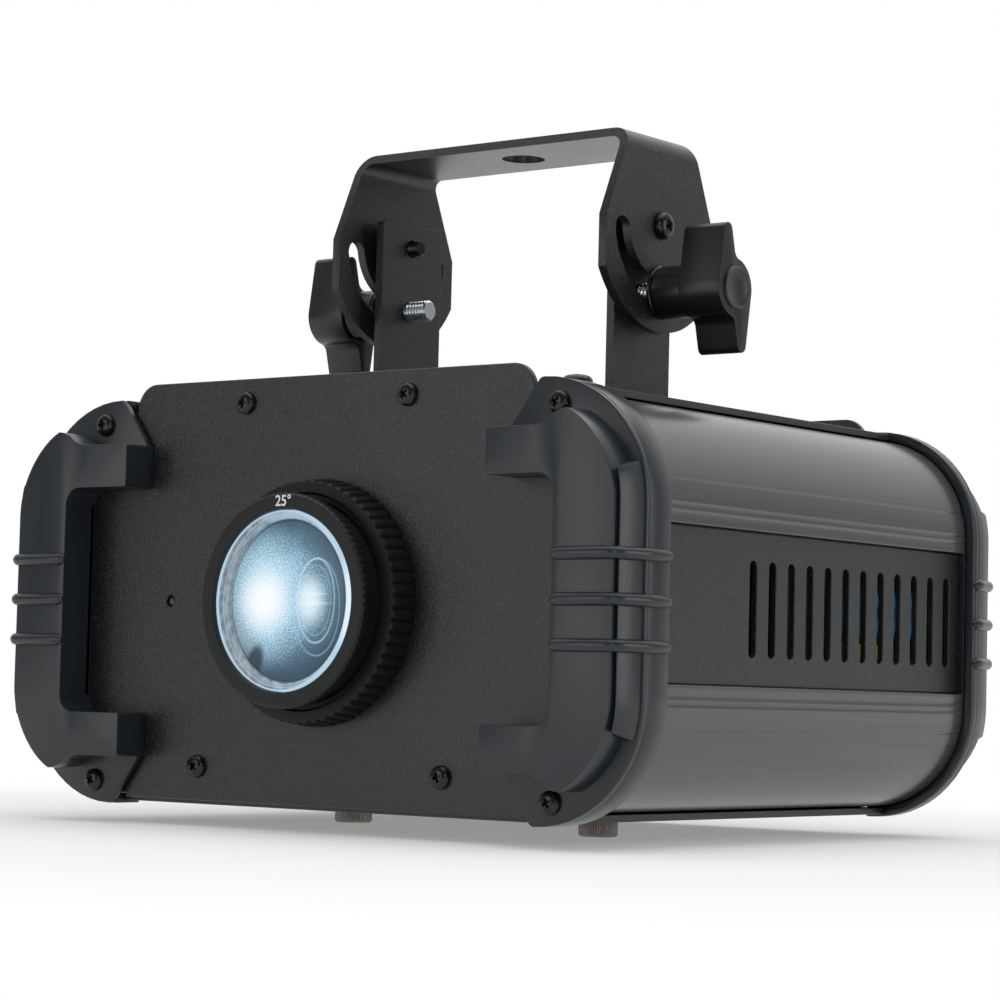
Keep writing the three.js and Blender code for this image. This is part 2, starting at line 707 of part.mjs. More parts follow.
function addHousing() {
  const edge = panelHeight / 2;
  const top = bodyHalfHeight;
  const inner = extrusionWall;
  const lipBack = panelFace - panelThickness - seatGap;
  const reach = coverHalf - extrusionReach;
  const portX = bodyHalfWidth - bodyCornerRadius;
  const portZ = midZ + top - screwPortRadius;

  const wall = new THREE.Shape();
  wall.moveTo(bodyHalfWidth, midZ + edge);
  wall.lineTo(bodyHalfWidth, midZ + top - bodyCornerRadius);
  wall.absarc(portX, midZ + top - bodyCornerRadius, bodyCornerRadius, 0, Math.PI / 2, false);
  wall.lineTo(reach, midZ + top);
  wall.lineTo(reach, midZ + top - inner);
  wall.lineTo(portX, midZ + top - inner);
  wall.absarc(portX, midZ + top - bodyCornerRadius, bodyCornerRadius - inner, Math.PI / 2, 0, true);
  wall.lineTo(bodyHalfWidth - inner, midZ + edge + inner + panelLipThickness);
  wall.lineTo(lipBack - panelLipThickness, midZ + edge + inner + panelLipThickness);
  wall.lineTo(lipBack - panelLipThickness, midZ + edge - panelLip);
  wall.lineTo(lipBack, midZ + edge - panelLip);
  wall.lineTo(lipBack, midZ + edge);
  wall.closePath();
  const bore = rod(screwPortBore, bodyFront - cutOverrun, bodyRear + cutOverrun, 'y', portX, portZ,
    boreSteps);
  const port = rod(screwPortRadius, bodyFront, bodyRear, 'y', portX, portZ, pinSteps);
  const grooves = extrusionGrooveHeights.map((height) => {
    const [x, z] = extrusionFace(height);
    return rod(extrusionGrooveRadius, bodyFront - cutOverrun, bodyRear + cutOverrun, 'y', x, z,
      ridgeSteps);
  });
  const upper = geometryFrom(cut(join(alongY(wall, bodyFront, bodyRear, bodyArcSteps), port), bore,
    ...grooves));
  const lower = upper.clone();
  lower.translate(0, 0, -midZ);
  lower.scale(1, 1, -1);
  lower.translate(0, 0, midZ);
  turnFaces(lower.index.array);
  lower.computeVertexNormals();
  addNode('extrusion_upper_right', upper, finish.gunmetal);
  addNode('extrusion_upper_left', mirroredAcross(upper), finish.gunmetal);
  addNode('extrusion_lower_right', lower, finish.gunmetal);
  addNode('extrusion_lower_left', mirroredAcross(lower), finish.gunmetal);

  const panel = rectangle(bodyFront, bodyRear, midZ - edge + seatGap, midZ + edge - seatGap);
  for (let i = 0; i < ventCount; i += 1) {
    const along = ventFirst + i * ventPitch;
    const half = ventWidth / 2;
    panel.holes.push(roundedRectangle(along - half, along + half, midZ - ventHeight / 2,
      midZ + ventHeight / 2, half));
  }
  addPair('side_panel', alongX(panel, panelFace - panelThickness, panelFace, slimCornerSteps),
    finish.texturedBlack);
}

// A cover: full length in the middle, and shorter beside it where the guards' skirts wrap round.
function coverOutline() {
  const half = coverHalf;
  const step = plateTabHalf + guardSkirtClear - seatGap;
  const front = guardSkirtFront + seatGap;
  const back = rearFace - guardSkirtRear - seatGap;
  return polygon([
    [-step, bodyFront],
    [step, bodyFront],
    [step, front],
    [half, front],
    [half, back],
    [step, back],
    [step, bodyRear],
    [-step, bodyRear],
    [-step, back],
    [-half, back],
    [-half, front],
    [-step, front],
  ]);
}

// Rail across the hatch's opening, inside, that one thumbscrew draws the hatch up to.
function hatchRail(side) {
  const from = side * thumbAcross - hatchRailWidth / 2;
  const to = from + hatchRailWidth;
  const bottom = bottomCoverTop + seatGap;
  const top = bottom + hatchRailThickness;
  const front = hatchFront - hatchRailWidth;
  const back = hatchBack + hatchRailWidth;
  const rail = join(
    blockBetween(from, to, front, back, bottom, top),
    blockBetween(from, to, front, hatchFront - hatchGap, bottomCoverBottom, top),
    blockBetween(from, to, hatchBack + hatchGap, back, bottomCoverBottom, top),
  );
  const guide = thumbShankRadius + thumbGuideGap;
  return cut(rail, rod(guide, bottom - cutOverrun, top + cutOverrun, 'z', side * thumbAcross, thumbBack,
    smallSteps));
}

function addCovers() {
  const outline = coverOutline();
  addNode('top_cover', alongZ(outline, coverBottom, coverTop), finish.texturedBlack);

  const half = hatchHalf;
  const far = half + hatchGap;
  const corner = hatchCornerRadius + hatchGap;
  const opening = roundedRectangle(-far, far, hatchFront - hatchGap, hatchBack + hatchGap, corner);
  const lowest = bottomCoverBottom - cutOverrun;
  const sheetMetal = cut(
    alongZ(outline, bottomCoverBottom, bottomCoverTop),
    alongZ(opening, lowest, bottomCoverTop + cutOverrun, cornerSteps),
  );
  addNode('bottom_cover', join(sheetMetal, hatchRail(-1), hatchRail(1)), finish.texturedBlack);

  const guides = [-1, 1].map((side) => rod(thumbShankRadius + thumbGuideGap, lowest,
    bottomCoverTop + cutOverrun, 'z', side * thumbAcross, thumbBack, smallSteps));
  const hatch = roundedRectangle(-half, half, hatchFront, hatchBack, hatchCornerRadius);
  addNode('bottom_hatch', cut(alongZ(hatch, bottomCoverBottom, bottomCoverTop, cornerSteps), ...guides),
    finish.texturedBlack);

  const root = thumbHeadRadius - thumbKnurlDepth;
  const knurled = toothedOutline(thumbAcross, thumbBack, thumbHeadRadius, root, thumbKnurls,
    thumbTipShare, 1);
  const headTop = bottomCoverBottom - seatGap;
  const shank = rod(thumbShankRadius, 0, headTop + thumbShankLength, 'z', thumbAcross, thumbBack,
    smallSteps);
  addPair('hatch_thumbscrew', join(alongZ(knurled, 0, headTop), shank), finish.bronzedSteel);
}

// Both end plates: the body's outline with a raised middle.
function endPlateSolid(y0, y1) {
  const inside = guardSkirtWall + plateSetIn;
  const outline = bodyOutline(guardHalfWidth - inside, guardHalfHeight - inside,
    guardCornerRadius - inside);
  const radius = plateTabRadius;
  const tab = new THREE.Shape();
  tab.moveTo(-plateTabHalf, midZ - plateTabBottom);
  tab.lineTo(plateTabHalf, midZ - plateTabBottom);
  tab.lineTo(plateTabHalf, midZ + plateTabTop - radius);
  tab.absarc(plateTabHalf - radius, midZ + plateTabTop - radius, radius, 0, Math.PI / 2, false);
  tab.lineTo(-plateTabHalf + radius, midZ + plateTabTop);
  tab.absarc(-plateTabHalf + radius, midZ + plateTabTop - radius, radius, Math.PI / 2, Math.PI, false);
  tab.closePath();
  return join(alongY(outline, y0, y1, bodyArcSteps), alongY(tab, y0, y1, cornerSteps));
}

function addFrontPlate() {
  const plate = endPlateSolid(0, plateThickness);
  const lensHole = rod(tubeRadius + seatGap, -cutOverrun, plateThickness + cutOverrun, 'y', 0, lensZ,
    lensSteps);
  const sensorHole = rod(sensorHoleRadius, -cutOverrun, plateThickness + cutOverrun, 'y', -sensorAcross,
    midZ, smallSteps);
  addNode('front_plate', cut(plate, lensHole, sensorHole), finish.texturedBlack);

  const radius = sensorHoleRadius - seatGap;
  const back = plateThickness + seatGap;
  const sensor = turned([
    [0, seatGap],
    [radius, radius / 2],
    [radius, back],
    [sensorFlangeRadius, back],
    [sensorFlangeRadius, back + sensorFlangeThickness],
    [radius, back + sensorFlangeThickness],
    [radius, back + sensorDepth],
    [0, back + sensorDepth],
  ], 'y', -sensorAcross, midZ, smallSteps);
  addNode('sensor_window', sensor, finish.smokedWindow);
}

// The bar's C-shaped face on the right-hand side, with an arm above and an arm below.
function barShape() {
  const arcX = barOuter - barArcRadius;
  const arcUp = guardHalfHeight - guardCornerRadius;
  const fillet = armFillet;
  const notchEnd = barOuter - armNotchSetIn;
  const notchStart = notchEnd - armNotchLength;
  const notchTop = armOuter + armNotchRise;
  const shape = new THREE.Shape();
  shape.moveTo(armEnd, midZ + armInner);
  shape.lineTo(armEnd, midZ + armOuter);
  shape.lineTo(notchStart, midZ + armOuter);
  shape.quadraticCurveTo(notchStart + armNotchRise, midZ + armOuter, notchEnd, midZ + notchTop);
  shape.absarc(arcX, midZ + arcUp, barArcRadius, barArcStartAngle, 0, true);
  shape.lineTo(barOuter, midZ - arcUp);
  shape.absarc(arcX, midZ - arcUp, barArcRadius, 0, -barArcStartAngle, true);
  shape.lineTo(notchEnd, midZ - notchTop);
  shape.quadraticCurveTo(notchStart + armNotchRise, midZ - armOuter, notchStart, midZ - armOuter);
  shape.lineTo(armEnd, midZ - armOuter);
  shape.lineTo(armEnd, midZ - armInner);
  shape.lineTo(barInner - fillet, midZ - armInner);
  shape.absarc(barInner - fillet, midZ - armInner + fillet, fillet, -Math.PI / 2, 0, false);
  shape.lineTo(barInner, midZ + armInner - fillet);
  shape.absarc(barInner - fillet, midZ + armInner - fillet, fillet, 0, Math.PI / 2, false);
  shape.closePath();
  return shape;
}

// The guard's outline drawn in by a given amount.
function guardOutline(inset) {
  return bodyOutline(guardHalfWidth - inset, guardHalfHeight - inset, guardCornerRadius - inset);
}

// Flange on the end plate, C-shaped with slanting corners, and the skirt that wraps the housing.
function guardRim(skirtLength) {
  const back = -seatGap;
  const front = back - guardFlangeThickness;
  const far = guardHalfWidth + cutOverrun;
  const beyond = guardHalfHeight + cutOverrun;
  const corner = plateTabHalf + guardFlangeClear;
  const zone = polygon([
    [armEnd, midZ + armInner],
    [armEnd, midZ + armOuter],
    [corner, midZ + guardHalfHeight],
    [corner, midZ + beyond],
    [far, midZ + beyond],
    [far, midZ - beyond],
    [corner, midZ - beyond],
    [corner, midZ - guardHalfHeight],
    [armEnd, midZ - armOuter],
    [armEnd, midZ - armInner],
    [barInner, midZ - armInner],
    [barInner, midZ + armInner],
  ]);
  const outline = guardOutline(0);
  const band = alongY(zone, front - cutOverrun, back + cutOverrun);
  const flange = alongY(outline, front, back, bodyArcSteps).intersect(band);
  const hollow = alongY(guardOutline(guardSkirtWall), front - cutOverrun, skirtLength + cutOverrun,
    bodyArcSteps);
  const ring = cut(alongY(outline, front, skirtLength, bodyArcSteps), hollow);
  const start = plateTabHalf + guardSkirtClear;
  const reach = blockBetween(start, far, front - cutOverrun, skirtLength + cutOverrun, midZ - beyond,
    midZ + beyond);
  return join(flange, ring.intersect(reach));
}

// Raised strip along the guard's side, apart from the bar by a channel and tapering to the front.
function guardPad() {
  const back = -seatGap;
  const frontHalf = guardHalfHeight - padFrontEnd;
  const rearHalf = guardHalfHeight - padRearEnd;
  const zone = alongX(polygon([
    [-padFront, midZ - frontHalf],
    [back, midZ - rearHalf],
    [back, midZ + rearHalf],
    [-padFront, midZ + frontHalf],
  ]), barOuter - barWall, guardHalfWidth + cutOverrun);
  const block = loftAlongY(guardOutline(padFrontInset), -padFront, guardOutline(padRearInset), back,
    bodyArcSteps);
  const channelBottom = -padFront + padChannelDepth;
  const channel = alongY(guardOutline(barSetIn - padChannel), -padFront - cutOverrun, channelBottom,
    bodyArcSteps);
  return cut(block.intersect(zone), channel);
}

// Where a rib bends: a narrow crest on a wider root.
function ribKnuckle(x, y, z) {
  const crest = ribCrest / 2;
  const root = ribWidth / 2;
  return [
    rod(ribProud, z - crest, z + crest, 'z', x, y, ridgeSteps),
    blockBetween(x - ribRoot, x + ribRoot, y - ribRoot, y + ribRoot, z - root, z + root),
  ];
}

// One rib across the bar's face, round its corner and back along the guard's side.
function guardRib(skirtLength, z) {
  const knuckles = [
    ribKnuckle(barInner + ribSetIn, -barDepth, z),
    ribKnuckle(barOuter, -barDepth, z),
    ribKnuckle(guardHalfWidth, -seatGap - guardFlangeThickness, z),
    ribKnuckle(guardHalfWidth, skirtLength - ribProud, z),
  ];
  const runs = knuckles.slice(1).map((knuckle, i) => wasm.Manifold.hull([...knuckles[i], ...knuckle]));
  return join(...runs);
}

// Right-hand guard for the front: rim, hollow bar, side pad and ribs.
function guardSolid(skirtLength) {
  const bar = alongY(barShape(), -barDepth, -seatGap, cornerSteps);
  const hollow = armInner - barWall;
  const cavity = blockBetween(barInner + barWall, barOuter - barWall,
    -barDepth + barWall, cutOverrun, midZ - hollow, midZ + hollow);
  const cant = alongZ(polygon([
    [armEnd + armCantLength, -barDepth],
    [armEnd + armCantLength, -barDepth - cutOverrun],
    [armEnd - cutOverrun, -barDepth - cutOverrun],
    [armEnd - cutOverrun, -barDepth + armCantDrop],
  ]), midZ - guardHalfHeight, midZ + guardHalfHeight);
  let whole = join(guardRim(skirtLength), cut(bar, cant), guardPad());
  for (let i = 0; i < ribCount; i += 1) {
    whole = join(whole, guardRib(skirtLength, midZ + (i - (ribCount - 1) / 2) * ribPitch));
  }
  return cut(whole, cavity);
}

function addGuards() {
  const front = geometryFrom(guardSolid(guardSkirtFront));
  addNode('guard_front_right', front, finish.mouldedGrey);
  addNode('guard_front_left', mirroredAcross(front), finish.mouldedGrey);
  const rear = geometryFrom(guardSolid(guardSkirtRear));
  rear.rotateZ(Math.PI);
  rear.translate(0, rearFace, 0);
  addNode('guard_rear_left', rear, finish.mouldedGrey);
  addNode('guard_rear_right', mirroredAcross(rear), finish.mouldedGrey);
}

// Rear panel with its fan grille and the holes for what is let into it.
function addRearPlate() {
  const before = rearPlateFront - cutOverrun;
  const behind = rearFace + cutOverrun;
  const pitch = 2 * fanGrilleRadius / fanGrilleSlots;
  const tools = [];
  for (let i = 0; i < fanGrilleSlots; i += 1) {
    const up = (i - (fanGrilleSlots - 1) / 2) * pitch;
    const half = Math.sqrt(fanGrilleRadius ** 2 - up ** 2);
    const z = lensZ + up;
    const rise = fanGrilleSlotWidth / 2;
    tools.push(alongY(roundedRectangle(-half, half, z - rise, z + rise, rise), before, behind,
      slimCornerSteps));
  }
  const displayX = displayWidth / 2 + seatGap;
  const displayZ = displayHeight / 2 + seatGap;
  const window = roundedRectangle(displayAcross - displayX, displayAcross + displayX,
    midZ + displayUp - displayZ, midZ + displayUp + displayZ, displayCornerRadius);
  tools.push(alongY(window, before, behind, slimCornerSteps));
  for (let i = 0; i < buttonCount; i += 1) {
    tools.push(rod(buttonRadius + seatGap, before, behind, 'y', buttonX(i), midZ + displayUp, pinSteps));
  }
  for (const x of [socketAcross, socketAcross - socketPitch]) {
    tools.push(rod(socketRadius + seatGap, before, behind, 'y', x, midZ - socketDown, socketSteps));
  }
  const inletX = inletWidth / 2 + seatGap;
  const inletZ = inletHeight / 2 + seatGap;
  const inlet = roundedRectangle(-inletAcross - inletX, -inletAcross + inletX,
    midZ - socketDown - inletZ, midZ - socketDown + inletZ, inletCorner);
  tools.push(alongY(inlet, before, behind, slimCornerSteps));
  addNode('rear_plate', cut(endPlateSolid(rearPlateFront, rearFace), ...tools), finish.texturedBlack);
}

function buttonX(index) {
  return -buttonFirst - index * buttonPitch;
}

// Fixed tube that carries the focus ring outside and the sliding barrel inside.
function addLensTube() {
  const front = -focusRingFace + focusRingLip;
  const flangeBack = bodyFront + tubeFlangeThickness;
  const profile = [
    [tubeBore, front],
    [tubeRadius, front],
    [tubeRadius, bodyFront],
    [tubeFlangeRadius, bodyFront],
    [tubeFlangeRadius, flangeBack],
    [tubeRadius, flangeBack],
    [tubeRadius, tubeRear],
    [tubeBore, tubeRear],
  ];
  addNode('lens_tube', turned(profile, 'y', 0, lensZ, lensSteps), finish.anodisedBlack);
}

// Fluted ring that tapers to the front.
function addFocusRing() {
  const front = -focusRingFace;
  const back = -seatGap;
  const root = focusRingRadius - focusRingFluteDepth;
  const fluted = toothedOutline(0, 0, focusRingRadius, root, focusRingFlutes, focusRingTipShare, 1);
  const geometry = extruded(fluted, back - front, slimCornerSteps);
  geometry.rotateX(Math.PI / 2);
  const place = geometry.getAttribute('position');
  const taper = (focusRingRadius - focusRingTaper) / focusRingRadius;
  for (let i = 0; i < place.count; i += 1) {
    const share = place.getY(i) < (front - back) / 2 ? taper : 1;
    place.setXYZ(i, place.getX(i) * share, place.getY(i) + back, lensZ + place.getZ(i) * share);
  }
  const bore = rod(tubeRadius + seatGap, front - cutOverrun, back + cutOverrun, 'y', 0, lensZ, lensSteps);
  addNode('focus_ring', cut(solidFrom(geometry), bore), finish.blackPlastic);
}

// A lens with one flat face, one curved face and an edge between them, about the lens axis.
function lensSolid(radius, flat, edge, crown, steps) {
  const rings = 4;
  const curve = [];
  for (let i = 0; i <= rings; i += 1) {
    const share = i / rings;
    curve.push([radius * share, edge + crown * (1 - share ** 2)]);
  }
  return turned([...curve, [radius, flat], [0, flat]], 'y', 0, lensZ, steps);
}

function addBarrel() {
  const lensFront = barrelFront + seatGap;
  const lensBack = lensFront + lensEdgeThickness;
  const fieldRear = fieldLensBack + fieldLensThickness;
  const ledgeFront = fieldRear + seatGap;
  const ledgeBack = ledgeFront + fieldLensLedge;
  const barrel = turned([
    [lensSeatRadius, barrelFront],
    [barrelRadius, barrelFront],
    [barrelRadius, barrelRear],
    [barrelBore, barrelRear],
    [barrelBore, ledgeBack],
    [barrelBore - fieldLensLedge, ledgeBack],
    [barrelBore - fieldLensLedge, ledgeFront],
    [barrelBore, ledgeFront],
    [barrelBore, lensBack + seatGap],
    [lensSeatRadius, lensBack + seatGap],
  ], 'y', 0, lensZ, lensSteps);
  addNode('lens_barrel', barrel, finish.anodisedBlack);
  addNode('front_lens', lensSolid(lensSeatRadius - seatGap, lensBack, lensFront, -lensCrown, lensSteps),
    finish.glass);
  const field = lensSolid(barrelBore - seatGap, fieldRear, fieldLensBack, -fieldLensCrown, roundSteps);
  addNode('field_lens', field, finish.glass);

  const face = -frontRingFace;
  const back = face + frontRingDepth;
  const root = frontRingRadius - frontRingKnurlDepth;
  const knurled = toothedOutline(0, lensZ, frontRingRadius, root, frontRingKnurls, frontRingKnurlShare,
    1);
  const opening = rod(frontRingOpening, face - cutOverrun, back + cutOverrun, 'y', 0, lensZ, lensSteps);
  addNode('front_ring', cut(alongY(knurled, face, back), opening), finish.anodisedBlack);
}

// Stage plate on two legs, with the hub that the gobo's gear turns on.
function addGoboStage() {
  const half = bodyHalfWidth - stageSetIn;
  const legInner = half - stageLegWidth;
  const arch = lensZ - stageLegTop;
  const top = lensZ + stageTop;
  const plate = alongY(polygon([
    [-half, footBottom],
    [-legInner, footBottom],
    [-legInner, arch],
    [legInner, arch],
    [legInner, footBottom],
    [half, footBottom],
    [half, top],
    [-half, top],
  ]), stageBack, stageRear);
  const hubEnd = stageRear + hubLength;
  const hub = rod(hubRadius, stageBack, hubEnd, 'y', 0, lensZ, roundSteps);
  const light = rod(hubRadius - hubWall, stageBack - cutOverrun, hubEnd + cutOverrun, 'y', 0, lensZ,
    roundSteps);
  const shaft = motorShaftRadius + seatGap;
  const shaftHole = rod(shaft, stageBack - cutOverrun, stageRear + cutOverrun, 'y', pinionX, pinionZ,
    pinSteps);
  const feet = [-half, legInner].map((from) => blockBetween(from, from + stageLegWidth,
    stageBack, stageBack + stageFootDepth, footBottom, footBottom + stageFootThickness));
  addNode('gobo_bracket', cut(join(plate, hub, ...feet), light, shaftHole), finish.galvanised);

  const motorBack = stageBack - seatGap;
  const earZ = motorEarWidth / 2;
  const ears = blockBetween(pinionX - motorEarReach, pinionX + motorEarReach,
    motorBack - motorEarThickness, motorBack, pinionZ - earZ, pinionZ + earZ);
  const can = rod(motorRadius, motorBack - motorLength, motorBack, 'y', pinionX, pinionZ, roundSteps);
  const bore = rod(shaft, motorBack - motorShaftDepth - seatGap, motorBack + cutOverrun, 'y', pinionX,
    pinionZ, pinSteps);
  addNode('gobo_motor', cut(join(can, ears), bore), finish.zinc);
}

// Tooth outline of one gear of the pair, with its tips and roots either side of the pitch circle.
function gearOutline(x, z, pitchRadius, teeth, turn) {
  const tip = pitchRadius + gearModule * gearAddendumShare;
  const root = pitchRadius - gearModule * gearDedendumShare;
  return toothedOutline(x, z, tip, root, teeth, gearTipShare, gearRootShare, turn);
}

function addGoboDrive() {
  const bore = (hubRadius + seatGap) / Math.cos(Math.PI / roundSteps); // its flats clear the hub's corners
  const webFront = stageRear + hubLength + seatGap;
  const webBack = webFront + gearWebThickness;
  const rimBack = webBack + gearRimHeight;
  const toothed = alongY(gearOutline(0, lensZ, gearPitchRadius, gearTeeth, pinionAngle), gearFront,
    gearFront + gearWidth);
  const holder = turned([
    [bore, gearFront],
    [gearRimRadius, gearFront],
    [gearRimRadius, rimBack],
    [goboRadius + seatGap, rimBack],
    [goboRadius + seatGap, webBack],
    [gearAperture, webBack],
    [gearAperture, webFront],
    [bore, webFront],
  ], 'y', 0, lensZ, roundSteps);
  const hole = rod(bore, gearFront - cutOverrun, gearFront + gearWidth + cutOverrun, 'y', 0, lensZ,
    roundSteps);
  addNode('gobo_gear', join(cut(toothed, hole), holder), finish.nylon);

  const discFront = webBack + seatGap;
  const discBack = discFront + goboThickness;
  const before = discFront - cutOverrun;
  const behind = discBack + cutOverrun;
  const spots = [rod(goboCentreRadius, before, behind, 'y', 0, lensZ, pinSteps)];
  for (let i = 0; i < goboSpots; i += 1) {
    const angle = 2 * Math.PI * i / goboSpots;
    const x = goboSpotCircle * Math.cos(angle);
    const z = lensZ + goboSpotCircle * Math.sin(angle);
    spots.push(rod(goboSpotRadius, before, behind, 'y', x, z, boreSteps));
  }
  addNode('gobo_disc', cut(rod(goboRadius, discFront, discBack, 'y', 0, lensZ, roundSteps), ...spots),
    finish.aluminium);

  const gap = Math.PI + Math.PI / pinionTeeth;
  const outline = gearOutline(pinionX, pinionZ, pinionPitchRadius, pinionTeeth, pinionAngle + gap);
  const pinion = alongY(outline, gearFront, gearFront + gearWidth);
  const shaftFront = stageBack - seatGap - motorShaftDepth;
  const shaft = rod(motorShaftRadius, shaftFront, gearFront + gearWidth, 'y', pinionX, pinionZ, pinSteps);
  addNode('motor_pinion', join(pinion, shaft), finish.bronzedSteel);
}

function addLightEngine() {
  const plateBack = condenserBack + condenserPlateThickness;
  const half = condenserPlateWidth / 2;
  const top = lensZ + condenserPlateTop;
  const plate = blockBetween(-half, half, condenserBack, plateBack, footBottom, top);
  const foot = blockBetween(-half, half, condenserBack, condenserBack + footDepth, footBottom,
    footBottom + footThickness);
  const seat = condenserRadius + seatGap;
  const housingBack = plateBack + condenserHousingDepth;
  const housing = tube(seat + condenserHousingWall, seat, plateBack - cutOverrun, housingBack, 'y', 0,
    lensZ, roundSteps);
  const light = rod(condenserRadius - condenserLedge, condenserBack - cutOverrun, plateBack, 'y', 0,
    lensZ, roundSteps);
  const bore = rod(seat, plateBack, housingBack + cutOverrun, 'y', 0, lensZ, roundSteps);
  addNode('condenser_holder', cut(join(plate, foot, housing), light, bore), finish.galvanised);
  const flat = plateBack + seatGap;
  const lens = lensSolid(condenserRadius, flat, flat + condenserThickness, condenserCrown, roundSteps);
  addNode('condenser_lens', lens, finish.glass);

  const sinkHalf = heatsinkWidth / 2;
  const sinkTop = lensZ + heatsinkHeight / 2;
  const sinkBottom = lensZ - heatsinkHeight / 2;
  const baseBack = heatsinkFront + heatsinkBase;
  const pieces = [blockBetween(-sinkHalf, sinkHalf, heatsinkFront, baseBack, sinkBottom, sinkTop)];
  for (const from of [-sinkHalf, sinkHalf - heatsinkLegWidth]) {
    const to = from + heatsinkLegWidth;
    pieces.push(blockBetween(from, to, heatsinkFront, baseBack, footBottom, sinkTop));
    pieces.push(blockBetween(from, to, heatsinkFront, heatsinkFront + footDepth, footBottom,
      footBottom + footThickness));
  }
  const finPitch = (heatsinkWidth - heatsinkFinThickness) / (heatsinkFins - 1);
  for (let i = 0; i < heatsinkFins; i += 1) {
    const x = -sinkHalf + i * finPitch;
    pieces.push(blockBetween(x, x + heatsinkFinThickness, heatsinkFront, heatsinkFront + heatsinkDepth,
      sinkBottom, sinkTop));
  }
  addNode('led_heatsink', join(...pieces), finish.aluminium);

  const boardBack = heatsinkFront - seatGap;
  const boardFront = boardBack - ledBoardThickness;
  const board = rod(ledBoardRadius, boardFront, boardBack, 'y', 0, lensZ, roundSteps);
  const emitter = rod(ledEmitterRadius, boardFront - ledEmitterHeight, boardBack, 'y', 0, lensZ,
    smallSteps);
  addNode('led_board', join(board, emitter), finish.whiteBoard);
}

// One blade that twists from its root to its tip, standing out from the hub at an angle.
function fanBlade(angle, middle) {
  const root = fanHubRadius - fanBladeSink;
  const tip = fanBoreRadius - fanTipGap;
  const geometry = welded(new THREE.BoxGeometry(tip - root, fanBladeThickness, fanBladeChord, 2, 1, 1));
  geometry.translate((root + tip) / 2, 0, 0);
  const place = geometry.getAttribute('position');
  const corner = new THREE.Vector3();
  for (let i = 0; i < place.count; i += 1) {
    corner.fromBufferAttribute(place, i);
    const share = (corner.x - root) / (tip - root);
    corner.applyAxisAngle(axisX, THREE.MathUtils.lerp(fanBladeRootPitch, fanBladeTipPitch, share));
    place.setXYZ(i, corner.x, corner.y, corner.z);
  }
  geometry.rotateY(angle);
  geometry.translate(0, middle, lensZ);
  return solidFrom(geometry);
}

function addFan() {
  const back = bodyRear;
  const front = back - fanDepth;
  const half = fanHalf;
  const square = roundedRectangle(-half, half, lensZ - half, lensZ + half, fanCornerRadius);
  const bore = rod(fanBoreRadius, front - cutOverrun, back + cutOverrun, 'y', 0, lensZ, roundSteps);
  const strutFront = back - fanStrutThickness;
  const strut = fanStrutWidth / 2;
  const frame = join(
    cut(alongY(square, front, back, slimCornerSteps), bore),
    blockBetween(-half, half, strutFront, back, lensZ - strut, lensZ + strut),
    blockBetween(-strut, strut, strutFront, back, lensZ - half, lensZ + half),
    rod(fanMotorPlate, strutFront, back, 'y', 0, lensZ, roundSteps),
    rod(fanAxleRadius, strutFront - fanAxleLength, back, 'y', 0, lensZ, pinSteps),
  );
  addNode('fan_frame', frame, finish.blackPlastic);

  const hubFront = front + fanHubFront;
  const hubBack = strutFront - seatGap;
  const axleBore = rod(fanAxleRadius + seatGap, strutFront - fanAxleLength - seatGap, back, 'y', 0,
    lensZ, pinSteps);
  const hub = rod(fanHubRadius, hubFront, hubBack, 'y', 0, lensZ, roundSteps);
  const blades = [];
  for (let i = 0; i < fanBlades; i += 1) {
    blades.push(fanBlade(2 * Math.PI * i / fanBlades, (hubFront + hubBack) / 2));
  }
  addNode('fan_rotor', cut(join(hub, ...blades), axleBore), finish.blackPlastic);
}

function addPowerBoard() {
  const outer = panelFace - boardInset;
  const end = bodyRear - powerBoardBeforeRear;
  const first = end - powerBoardLength;
  const half = powerBoardHeight / 2;
  const up = ventHeight / 2 + powerPostOver;
  const board = blockBetween(outer - boardThickness, outer, first, end, midZ - half, midZ + half);
  const postEnd = panelFace - panelThickness - seatGap;
  const posts = [];
  for (const y of [first + powerPostIn, end - powerPostIn]) {
    for (const z of [midZ - up, midZ + up]) {
      posts.push(rod(boardPostRadius, outer - boardThickness, postEnd, 'x', y, z, boreSteps));
    }
  }
  addNode('power_board', join(board, ...posts), finish.circuitBoard);

  const seat = outer + seatGap;
  const canStart = first + capacitorAlong;
  const can = rod(capacitorRadius, canStart, canStart + capacitorLength, 'y', seat + capacitorRadius,
    midZ + capacitorUp, capacitorSteps);
  addNode('capacitor', can, finish.blueSleeve);

  const start = first + transformerAlong;
  const middle = midZ - transformerDown;
  const rise = transformerHeight / 2;
  const body = blockBetween(seat, seat + transformerDepth, start, start + transformerLength,
    middle - rise, middle + rise);
  addNode('transformer', body, finish.amberTape);
}

